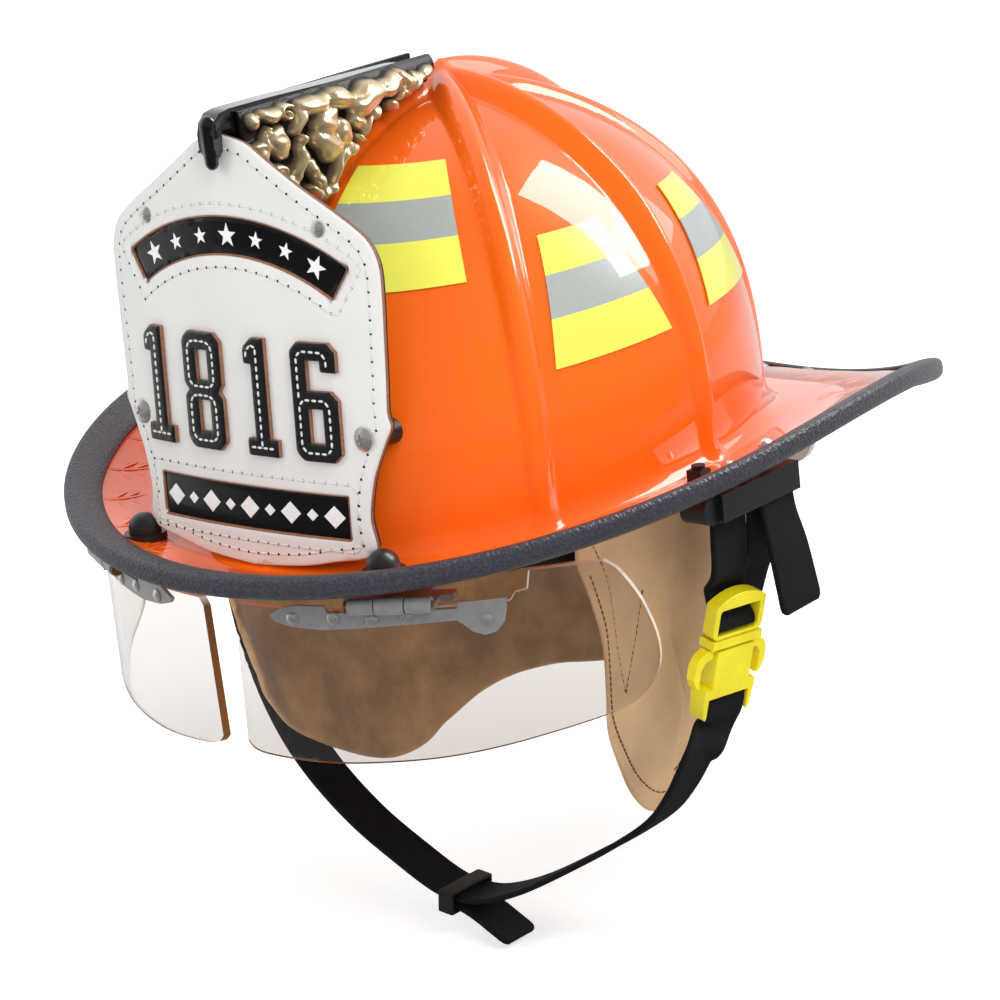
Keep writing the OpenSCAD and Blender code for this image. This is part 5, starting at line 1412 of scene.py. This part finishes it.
CURLS = [
    # centre in Y and Z, radius, turns, half thickness, start angle, way round
    ((-89.5, 117.4), 5.6, 1.4, 1.3, 2.4, 1),
    ((-98, 113.5), 4.6, 1.3, 1.2, -2.4, -1),
    ((-92, 104.5), 4.6, 1.3, 1.2, 0.4, 1),
    ((-84, 125.6), 3.2, 1.2, 1.0, 0.4, 1),
    ((-26, 123.4), 3.8, 1.2, 1.2, 2.5, 1),
]
BERRIES = [
    # centre in Y and Z, radius
    (-56.4, 106.4, 2.3), (-32.6, 118.2, 2.4), (-72.8, 99.6, 2.2), (-68.2, 96.2, 2.1), (-76.4, 96.2, 2.0),
    (-78.5, 114.5, 1.9), (-28.4, 120.0, 1.6), (-52.6, 110.4, 1.7), (-96.5, 98.5, 2.0),
]


FILMS = [
    # piece, node, azimuths of the top corners, azimuths of the bottom corners, rise of top and bottom
    ("film_front", "reflective_front", -79, -46.5, -80.5, -44.5, 57, 32),
    ("film_side", "reflective_side", -27, -11, -30, -3.2, 37.4, 16),
    ("film_rear", "reflective_rear", 17, 31, 10.5, 37.5, 38.5, 16.3),
    ("film_back", "reflective_back", 61, 75, 55, 81, 38.5, 16.3),
]


class HELMET_OT_reflectors(bpy.types.Operator):
    """Sticks the reflective film on the dome, in eight four-sided patches"""

    bl_idname = "helmet.reflectors"
    bl_label = "Reflective film"

    def execute(self, context):
        for name, node, t0, t1, b0, b1, top, low in FILMS:
            parts, uv = [], []
            v, u = np.meshgrid(np.linspace(0, 1, 36), np.linspace(0, 1, 36), indexing="ij")
            left, right = b0 + (t0 - b0) * v, b1 + (t1 - b1) * v
            t, a = left + (right - left) * u, low + (top - low) * v
            for s in (1, -1):
                side = t if s > 0 else (180 - t)[:, ::-1]
                skin = [dome_pt(side, a, rib(side, a) + off) for off in (0.9, 0.45)]
                parts.append(slab(*skin))
                uv += [stack(u, v).reshape(-1, 2)] * 2
            verts, faces = joined(parts)
            piece = put(name, verts, faces, "Prismatic film, lime", sharp=50, uv=np.concatenate(uv))
            dress(piece, "reflective_lime", node)
        return {"FINISHED"}


class HELMET_OT_hardware(bpy.types.Operator):
    """Puts in rivets, screws, spacers, knobs, bolts, nuts and the rear hanger"""

    bl_idname = "helmet.hardware"
    bl_label = "Hardware"

    def execute(self, context):
        for name, node, material, slot, bevel, segments in (
            ("rivets", "front_rivets", "Nickel plate", "nickel", 0.25, 2),
            ("screws", "front_screws", "Nickel plate", "nickel", 0.2, 2),
            ("spacers", "front_spacers", "Moulded nylon, black", "plastic_black", 0.5, 2),
            ("knobs", "brim_knobs", "Moulded rubber, black", "knob_black", 0.5, 3),
            ("bolts", "anchor_bolts", "Nickel plate", "nickel", 0.25, 2),
            ("nuts", "anchor_nuts", "Phosphated steel", "plastic_black", 0.4, 2),
            ("hanger_plate", "hanger_bracket", "Zinc plate", "bracket_steel", 0.25, 2),
            ("ring", "hanger_ring", "Nickel plate", "nickel", 0.7, 4),
        ):
            refined(name, node, material, slot, bevel, segments)
        return {"FINISHED"}


# outline of the left eye shield in its own frame: lower edge and outer end, then the notched top
LENS_LOW = [
    [-60.5, -83.2], [-57.4, -86], [-49.9, -87.2], [-28.9, -88.1], [-3.9, -87.2], [13.6, -86],
    [30.8, -83.9], [47.6, -81.2], [61.1, -79], [70.1, -77.2], [75.6, -74.6], [79.7, -70.8], [82.1, -66],
    [83, -60.5], [82.4, -53.5], [80.7, -46.5], [78.5, -39.8], [75.5, -33.4], [72.3, -28], [68.5, -24.4],
]
LENS_TOP = [[45.3, -23.6], [44.1, -30], [40.1, -30.6], [38.5, -33.2], [-57.5, -33.2], [-59.1, -36]]


class HELMET_OT_eye_shields(bpy.types.Operator):
    """Forms the two clear eye shields, their plates, rivets, brackets and pins"""

    bl_idname = "helmet.eye_shields"
    bl_label = "Eye shields"

    def execute(self, context):
        outline = split(np.concatenate([curve(LENS_LOW, 8), LENS_TOP]), 1.5)
        for s, name in ((1, "left"), (-1, "right")):

            def place(x, z, d):
                return on_lens(stack(x, -np.sqrt((LENS_R - d) ** 2 - x**2), z), s)

            v, f, part = cut_piece(outline, [], place, LENS_T, 3.0, 0.0)
            mats = ["Polycarbonate, clear", "Polycarbonate, cut edge"]
            # the cut edge gets a painted highlight at the outer end, all but its lowest part, and along the
            # top
            reach = (np.abs(v) - np.abs(v).min(0)) / np.ptp(np.abs(v), axis=0)
            outer = np.clip((reach[:, 0] - 0.86) * 12, 0, 1) * np.clip((0.9 - reach[:, 2]) * 12, 0, 1)
            outer = {"outer": np.maximum(outer, np.clip((0.2 - reach[:, 2]) * 20, 0, 1))}
            wall = np.array(part) == 1
            piece = put(f"eye_shield_{name}", v, f, mats, f"shield_{name}", index=wall, attributes=outer)
            dress(piece, "lens_clear", f"lens_{name}")
            refined(f"plate_{name}", f"lens_plate_{name}", "Zinc plate", "plate_steel", 0.2)
            refined(f"plate_rivets_{name}", f"lens_rivets_{name}", "Nickel plate", "nickel", 0.15)
            refined(f"hinge_bracket_{name}", f"lens_bracket_{name}", "Zinc plate", "bracket_steel", 0.25)
            refined(f"pin_{name}", f"hinge_pin_{name}", "Yellow brass", "nickel", 0.2)
        return {"FINISHED"}


BK_W = bk([0, 1, 0]) - BUCKLE_POS


def at_buckle(*rows):
    """Rows of a strap at points of the buckle's frame, as wide as the buckle turns it."""
    return [[*bk(r), *BK_W] for r in rows]


def level(*rows):
    """Rows of a strap whose width runs straight back, along Y."""
    return [[*r, 0, 1, 0] for r in rows]


# inner end of the strap anchors under the brim, as in the part's source
ANCHOR_X = 118.16
STRAPS = {
    # node, piece, width, rows of the point and the direction of the width
    "upper_strap_front": ("strap_front", WEB_W, [
        *level([ANCHOR_X + 5.1, -8.5, -20.6], [ANCHOR_X + 4.6, -8.6, -33], [120.7, -7.2, -45]),
        *at_buckle([-5.6, -1.2, 27], [-4.9, -0.5, 22], [-2.2, 0, 17.4], [0.7, 0, 14.6], [1.1, 0, 12.4]),
    ]),
    "upper_strap_rear": ("strap_rear", WEB_W, [
        *level([ANCHOR_X + 5.1, 12, -20.6], [ANCHOR_X + 4.3, 12.3, -33], [119.4, 13.4, -45]),
        *at_buckle([-8.8, 14.5, 26], [-8.4, 12, 15], [-7.8, 9, 8]),
    ]),
    "strap_tail": ("strap_tail_end", WEB_W, [
        *level([ANCHOR_X + 9.5, 12.7, -20.6], [ANCHOR_X + 9.9, 13.6, -32]),
        [129.3, 15.6, -44, 0.1, 1, -0.1],
        [129.9, 17.4, -55.5, 0.15, 1, -0.15],
        [130.6, 18.9, -67, 0.2, 1, -0.2],
    ]),
    "lower_strap": ("strap_chin", WEB_W, [
        *at_buckle([1.8, 0, -14.4], [1.9, 0, -21], [0.8, -1.8, -27.5]),
        *level(
            [106.2, -15.6, -114], [101.4, -20.5, -125.5], [92.5, -22, -136.5], [76.2, -22, -148],
            [54.6, -22, -160.8], [30.7, -22, -173.8], [13, -22, -181], [0, -22, -183.6],
            [-14, -22, -181.8], [-32, -22, -173.5], [-54, -22, -161], [-75, -21.5, -144],
            [-91, -20, -125], [-104, -17, -101], [-114, -13, -68],
            [-ANCHOR_X - 3.1, -9.6, -38], [-ANCHOR_X - 5.1, -8.5, -20.6],
        ),
    ]),
    "loose_end": ("strap_loose_end", 18, level(
        [-10, -22, -186.2], [-3, -22, -187.2], [4, -22, -189.8], [11, -22, -193.4], [18.6, -22, -197.4],
    )),
}


def web_section(w, t):
    """Section of webbing: flat, a little thicker along both woven edges."""
    base = rounded(w, t, t * 0.48, 3)
    x = np.linspace(-w / 2 + t, w / 2 - t, 12)
    thin = t / 2 - 0.12 * (1 - (np.abs(x) / (w / 2)) ** 6)
    half = len(base) // 2
    right, left = base[: len(base) // 4], base[len(base) // 4 : half]
    low_left, low_right = base[half : 3 * len(base) // 4], base[3 * len(base) // 4 :]
    top = np.stack([x[::-1], thin], -1)
    return np.concatenate([right, top, left, low_left, np.stack([x, -thin], -1), low_right])


class HELMET_OT_straps(bpy.types.Operator):
    """Weaves the chin strap and its anchors"""

    bl_idname = "helmet.straps"
    bl_label = "Straps"

    def execute(self, context):
        for node, (name, width, rows) in STRAPS.items():
            line = even(curve(rows, 10), 1.2)
            section = np.repeat(web_section(width, WEB_T)[None], len(line), 0)
            if "end" in name:
                # the free end is cut with round corners
                left = np.linspace(0, 1, 4)[::-1]
                section[-4:, :, 0] *= (1 - 0.16 * (1 - np.sqrt(1 - (1 - left) ** 2)))[:, None]
            verts, faces, uv = sweep(line[:, :3], section, line[:, 3:])
            dress(put(name, verts, faces, "Woven polyester, black", uv=uv, sharp=60), "webbing", node)
        refined("keeper", "strap_keeper", "Moulded nylon, black", "plastic_black", 0.6)
        for side in ("left", "right"):
            refined(f"anchor_{side}", f"strap_anchor_{side}", "Moulded nylon, black", "plastic_black", 0.8, 3)
        return {"FINISHED"}


class HELMET_OT_buckle(bpy.types.Operator):
    """Moulds the side-release buckle"""

    bl_idname = "helmet.buckle"
    bl_label = "Buckle"

    def execute(self, context):
        for node in ("buckle_plug", "prong_front", "prong_rear", "buckle_body"):
            refined(f"{node}_moulding", node, "Moulded acetal, yellow", "buckle_yellow", 0.6, 3)
        return {"FINISHED"}


def band_pt(t, off):
    """Point of the head band's plan: an ellipse in front and a fuller super-ellipse behind."""
    e = np.where(sind(t) < 0, 1, 2 / 3.2)
    return stack(
        (BAND_HALF_W + off) * signed_power(cosd(t), e), (BAND_HALF_L + off) * signed_power(sind(t), e)
    )


# share of the nape pad's outline and place along Y of each ring of its surface, from back to front
NAPE_RINGS = [
    (0.02, 85.9), (0.5, 85.9), (0.9, 85.9), (0.975, 85.6), (1.0, 84.9), (1.0, 83.2), (0.975, 82.2),
    (0.9, 81.75), (0.78, 81.62), (0.74, 81.95), (0.7, 81.6), (0.4, 81.52), (0.02, 81.5),
]


class HELMET_OT_suspension(bpy.types.Operator):
    """Fits the liner, crown straps, head band, pads and ratchet"""

    bl_idname = "helmet.suspension"
    bl_label = "Suspension"

    def execute(self, context):
        self.liner()
        for k, ang in enumerate((30, 90, 150)):
            r = CROWN_R + STRAP_STEP * k + 0.8
            a0 = math.degrees(math.asin(4.8 / r))
            a = np.linspace(a0, 180 - a0, 150)
            path = stack(r * cosd(a) * cosd(ang), r * cosd(a) * sind(ang), CROWN_Z + r * sind(a))
            across = np.array([-sind(ang), cosd(ang), 0])
            verts, faces, uv = sweep(path, web_section(CROWN_W, 1.6), across)
            web = put(f"crown_web_{k + 1}", verts, faces, "Woven polyester, black", uv=uv, sharp=60)
            dress(web, "webbing", f"crown_strap_{k + 1}")
        for name, node, material, bevel, segments in (
            ("clips", "crown_clips", "Moulded nylon, black", 0.5, 2),
            ("band", "headband", "Moulded nylon, black", 0.6, 2),
            ("ratchet_case", "ratchet_housing", "Moulded nylon, black", 1.0, 3),
            ("ratchet_wheel", "ratchet_knob", "Moulded rubber, black", 0.6, 2),
            ("rack_strip_left", "rack_left", "Moulded nylon, black", 0.15, 2),
            ("rack_strip_right", "rack_right", "Moulded nylon, black", 0.15, 2),
        ):
            refined(name, node, material, "plastic_black", bevel, segments)
        self.pads()
        return {"FINISHED"}

    def liner(self):
        """Foam cap: the dome's form moved in by 1 and by 10 mm, with grooves between its segments."""
        outer, inner = -SHELL_T - 1, -SHELL_T - 10
        t = np.arange(0, 360, 2.0)
        groove = 1.6 * np.exp(-(((t + 11.25) % 22.5 - 11.25) / 1.1) ** 2)
        up = np.array([12, 14, 17, 21, 26, 32, 38, 44, 50, 56, 62, 68, 74, 79, 83, 87])
        rows = [dome_pt(t, a, outer + 0 * t) for a in up[::-1]]
        rows += [dome_pt(t, a, inner + groove * np.clip((84 - a) / 20, 0, 1)) for a in up]
        verts, faces = cupola(rows, [dome_pt(0, 90, outer), dome_pt(0, 90, inner)])
        liner = put("foam_liner", verts, faces, "Moulded foam, charcoal", sharp=50)
        dress(liner, "liner_foam", "impact_liner")

    def pads(self):
        """Soft pads: thickness follows a rounded profile, full in the middle and closed at the rim."""
        # round pad under the crossing of the crown straps: both its skins lie on spheres
        v, u = np.meshgrid(np.linspace(0, 1, 26), np.arange(96) * 2 * np.pi / 96, indexing="ij")
        rad = 25 * v
        seam = 0.7 * np.exp(-(((v - 0.72) / 0.035) ** 2))
        close = (1 - np.sqrt(np.maximum(1 - np.clip((v - 0.86) / 0.14, 0, 1) ** 2, 0))) * 1.8
        skins = []
        for r in (CROWN_R - 4 + close + seam, CROWN_R - 0.4 - close):
            up = CROWN_Z + np.sqrt(np.maximum(r**2 - rad**2, 1))
            skins.append(stack(rad * np.cos(u), rad * np.sin(u), up))
        rows = np.concatenate([skins[0][1:], skins[1][:0:-1]])
        faces = tube(*rows.shape[:2])
        pad = put("crown_cushion", rows, faces, "Brushed pad cloth, black", sharp=None)
        dress(pad, "pad_cloth", "crown_pad")
        # brow pad: the section is carried along the inside of the head band
        t = np.linspace(-150, -30, 150)
        mid = -BAND_T - 2.5
        end = np.sqrt(np.clip(np.minimum(t + 150, -30 - t) / 3.2, 0.02, 1))
        path = band_pt(t, mid)
        path = stack(path[:, 0], path[:, 1], 0 * t)
        section = rounded(33, 4.1, 2.0, 6)[None] * stack(0.9 + 0.1 * end, end)[:, None]
        stitch = 0.35 * np.exp(-((np.abs(section[..., 0]) - 13.2) / 0.7) ** 2) * np.sign(section[..., 1])
        verts, faces, uv = sweep(path, section - stack(0 * stitch, stitch), [0, 0, 1.0])
        pad = put("brow_cushion", on_band(verts), faces, "Soft leather, brown", uv=uv, sharp=None)
        dress(pad, "brow_leather", "brow_pad")
        # nape pad: a rounded plate, crowned towards the head
        a = np.linspace(0, 2 * np.pi, 97)[:-1]
        shape = np.stack([32 * signed_power(np.cos(a), 0.5), 15 * signed_power(np.sin(a), 0.5)], -1)
        rows = np.stack([stack(shape[:, 0] * k, y, shape[:, 1] * k - 4) for k, y in NAPE_RINGS])
        faces = tube(*rows.shape[:2])
        pad = put("nape_cushion", on_band(rows), faces, "Soft leather, brown", sharp=None)
        dress(pad, "brow_leather", "nape_pad")


# azimuths of the lap's two ends, and its lower edge as azimuth and height
LAP_START, LAP_END = -30, 235
LAP_LOW = curve(
    [
        [-30, -38], [-26.5, -56], [-23.5, -74], [-22, -92], [-20, -111], [-14.5, -128], [-7, -143],
        [1, -152], [6, -148], [12, -135], [20, -128], [32, -126], [60, -128], [90, -131], [113, -134],
        [135, -137], [145, -140.5], [156, -149], [162, -154.5], [169, -156.5], [176, -154.5],
        [186, -147.5], [197, -137], [205, -126.5], [211, -115], [220, -100], [229, -87], [236, -66],
    ],
    6,
)


def lap_pt(t, v, off):
    """Point of the ear lap at an azimuth round the head and a share down the cloth, moved out by off.

    In plan it is an ellipse that shrinks with the square of the drop, and folds swing in and out."""
    up = -13.5 - 12 * np.maximum(sind(t), 0) ** 2
    z = up + (np.interp(t, LAP_LOW[:, 0], LAP_LOW[:, 1]) - up) * v
    d = np.maximum(-z - 22, 0)
    q = (0.8 + 0.2 * cosd(t)) * (0.0014 * d + 0.0000125 * d * d)
    r = 1.7 * sind(9 * t + 20) * np.minimum(d / 60, 1) + off
    b = np.where(sind(t) < 0, 105, 114)
    return stack((98 * (1 - q) + r) * cosd(t), 8 + (b * (1 - 0.8 * q) + r) * sind(t), z)


class HELMET_OT_ear_lap(bpy.types.Operator):
    """Cuts and hangs the lined ear lap, with its hem and seams"""

    bl_idname = "helmet.ear_lap"
    bl_label = "Ear lap"

    def execute(self, context):
        thick = context.scene.helmet_sizes.cloth / MM
        rows, cols = 90, 420
        down = 1 - (1 - np.linspace(0, 1, rows)) ** 1.2
        v, t = np.meshgrid(down, LAP_START + (LAP_END - LAP_START) * np.linspace(0, 1, cols), indexing="ij")
        base = lap_pt(t, v, 0)
        # distance from the rim in mm: the lap is about 110 mm deep, and a degree is 1.7 mm
        edge = np.minimum(np.minimum((1 - v) * 110, (t - LAP_START) * 1.7), (LAP_END - t) * 1.7)
        puff = 0.25 * np.exp(-((edge - 8) / 1.1) ** 2)
        close = thick / 2 * np.sqrt(np.clip(edge / 1.1, 0.05, 1))
        soft = self.wrinkles(t, v)
        outer, inner = lap_pt(t, v, soft + close - puff), lap_pt(t, v, soft - close + puff * 0.5)
        verts, faces = slab(inner, outer)
        # the UV map is the flat cloth: length along the middle row, and length down each column
        s = np.concatenate([[0], np.cumsum(np.linalg.norm(np.diff(base[rows // 2], axis=0), axis=1))])
        steps = np.cumsum(np.linalg.norm(np.diff(base, axis=0), axis=2), axis=0)
        down = np.concatenate([np.zeros((1, cols)), steps])
        uv = stack(s[None], -down).reshape(-1, 2)
        # the inner side, the slab's first face, is the lining
        index = np.arange(len(faces)) < (rows - 1) * (cols - 1)
        mats = ["Aramid duck, tan", "Flannel lining, tan"]
        lap = put("ear_lap_cloth", verts, faces, mats, uv=np.concatenate([uv, uv]), sharp=60, index=index)
        dress(lap, "earlap_cloth", "earlap")
        cells = np.cross(np.diff(base, axis=0)[:, :-1], np.diff(base, axis=1)[:-1])
        self.hem(thick)
        return {"FINISHED"}

    def wrinkles(self, t, v):
        """Soft folds: a sharp crease down the front piece, dips along its seams, and long leaning waves.

        The crease rises slowly to its line and falls away steeply behind it."""
        crease = np.interp(v, [0.25, 0.5, 0.68, 0.95], [-9, -6, 1, 3.5])
        past = np.clip(t - crease, 0, None)
        before = np.clip(crease - t, 0, None)
        fall = (1 - np.exp(-((past / 1.1) ** 2))) * np.exp(-((past / 8) ** 2))
        deep = 1.8 * np.exp(-((before / 4) ** 2)) - 5.0 * fall
        seam = sum(
            -0.5 * np.exp(-(((t - np.interp(v, b, a)) / 0.5) ** 2)) * (v > b[0]) * (v < b[1])
            for a, b in LAP_SEAMS
        )
        return (
            deep * np.clip((v - 0.2) / 0.4, 0, 1)
            + seam
            + 0.55 * sind(5.3 * t + 60 * v) * v
            + 0.35 * sind(13 * t - 140 * v + 30) * v**1.5
            + 0.2 * sind(31 * t + 220 * v) * v**2
        )

    def hem(self, thick):
        """One row of stitches along the lower edge and along both seams, on the outer face.

        A stitch is a short capsule between two points of the row, thickest in its middle."""
        made = []
        t = np.linspace(LAP_START + 2.5, LAP_END - 2.5, 900)
        # the row along the edge stays 8 mm above it
        v = 1 - 8.0 / np.maximum(-np.interp(t, LAP_LOW[:, 0], LAP_LOW[:, 1]) - 14, 20)
        rows = [(t, v)] + [(np.interp(np.linspace(*b, 60), b, a), np.linspace(*b, 60)) for a, b in LAP_SEAMS]
        share = np.array([[0.08], [0.2], [0.5], [0.8], [0.92]])
        section = circle(1, 5)[None] * np.array([0.12, 0.3, 0.36, 0.3, 0.12])[:, None, None]
        for t, v in rows:
            line = even(lap_pt(t, v, self.wrinkles(t, v) + thick / 2 - 0.08), 2.6)
            for a, b in zip(line, line[1:]):
                made.append(sweep(a + (b - a) * share, section, [0, 0, 1.0])[:2])
        verts, faces = joined(made)
        dress(put("ear_lap_thread", verts, faces, "Seam thread, brown", sharp=None), "earlap_cloth")


# seams that run down the front of the ear lap: azimuths and shares at both ends
LAP_SEAMS = [((-28.0, -17.0), (0.4, 0.75)), ((-14.5, -17.0), (0.36, 0.75))]


class HELMET_PT_pieces(bpy.types.Panel):
    """Sizes, colours and pieces of the helmet"""

    bl_idname = "HELMET_PT_pieces"
    bl_label = "Fire helmet"
    bl_space_type = "VIEW_3D"
    bl_region_type = "UI"
    bl_category = "Helmet"

    def draw(self, context):
        for group in (context.scene.helmet_sizes, context.scene.helmet_colours):
            box = self.layout.box()
            for key in group.__annotations__:
                box.prop(group, key)
        for step in STEPS:
            self.layout.operator(step.bl_idname)


STEPS = (
    HELMET_OT_finishes, HELMET_OT_stage, HELMET_OT_shell, HELMET_OT_trim, HELMET_OT_leather, HELMET_OT_holder,
    HELMET_OT_reflectors, HELMET_OT_hardware, HELMET_OT_eye_shields, HELMET_OT_straps, HELMET_OT_buckle,
    HELMET_OT_suspension, HELMET_OT_ear_lap,
)
CLASSES = (HelmetSizes, HelmetColours, *STEPS, HELMET_PT_pieces)


def register():
    for made in CLASSES:
        bpy.utils.register_class(made)
    bpy.types.Scene.helmet_sizes = bpy.props.PointerProperty(type=HelmetSizes)
    bpy.types.Scene.helmet_colours = bpy.props.PointerProperty(type=HelmetColours)


def unregister():
    del bpy.types.Scene.helmet_sizes, bpy.types.Scene.helmet_colours
    for made in reversed(CLASSES):
        bpy.utils.unregister_class(made)


def main():
    register()
    for step in STEPS:
        group, name = step.bl_idname.split(".")
        getattr(getattr(bpy.ops, group), name)()


if __name__ == "__main__":
    main()
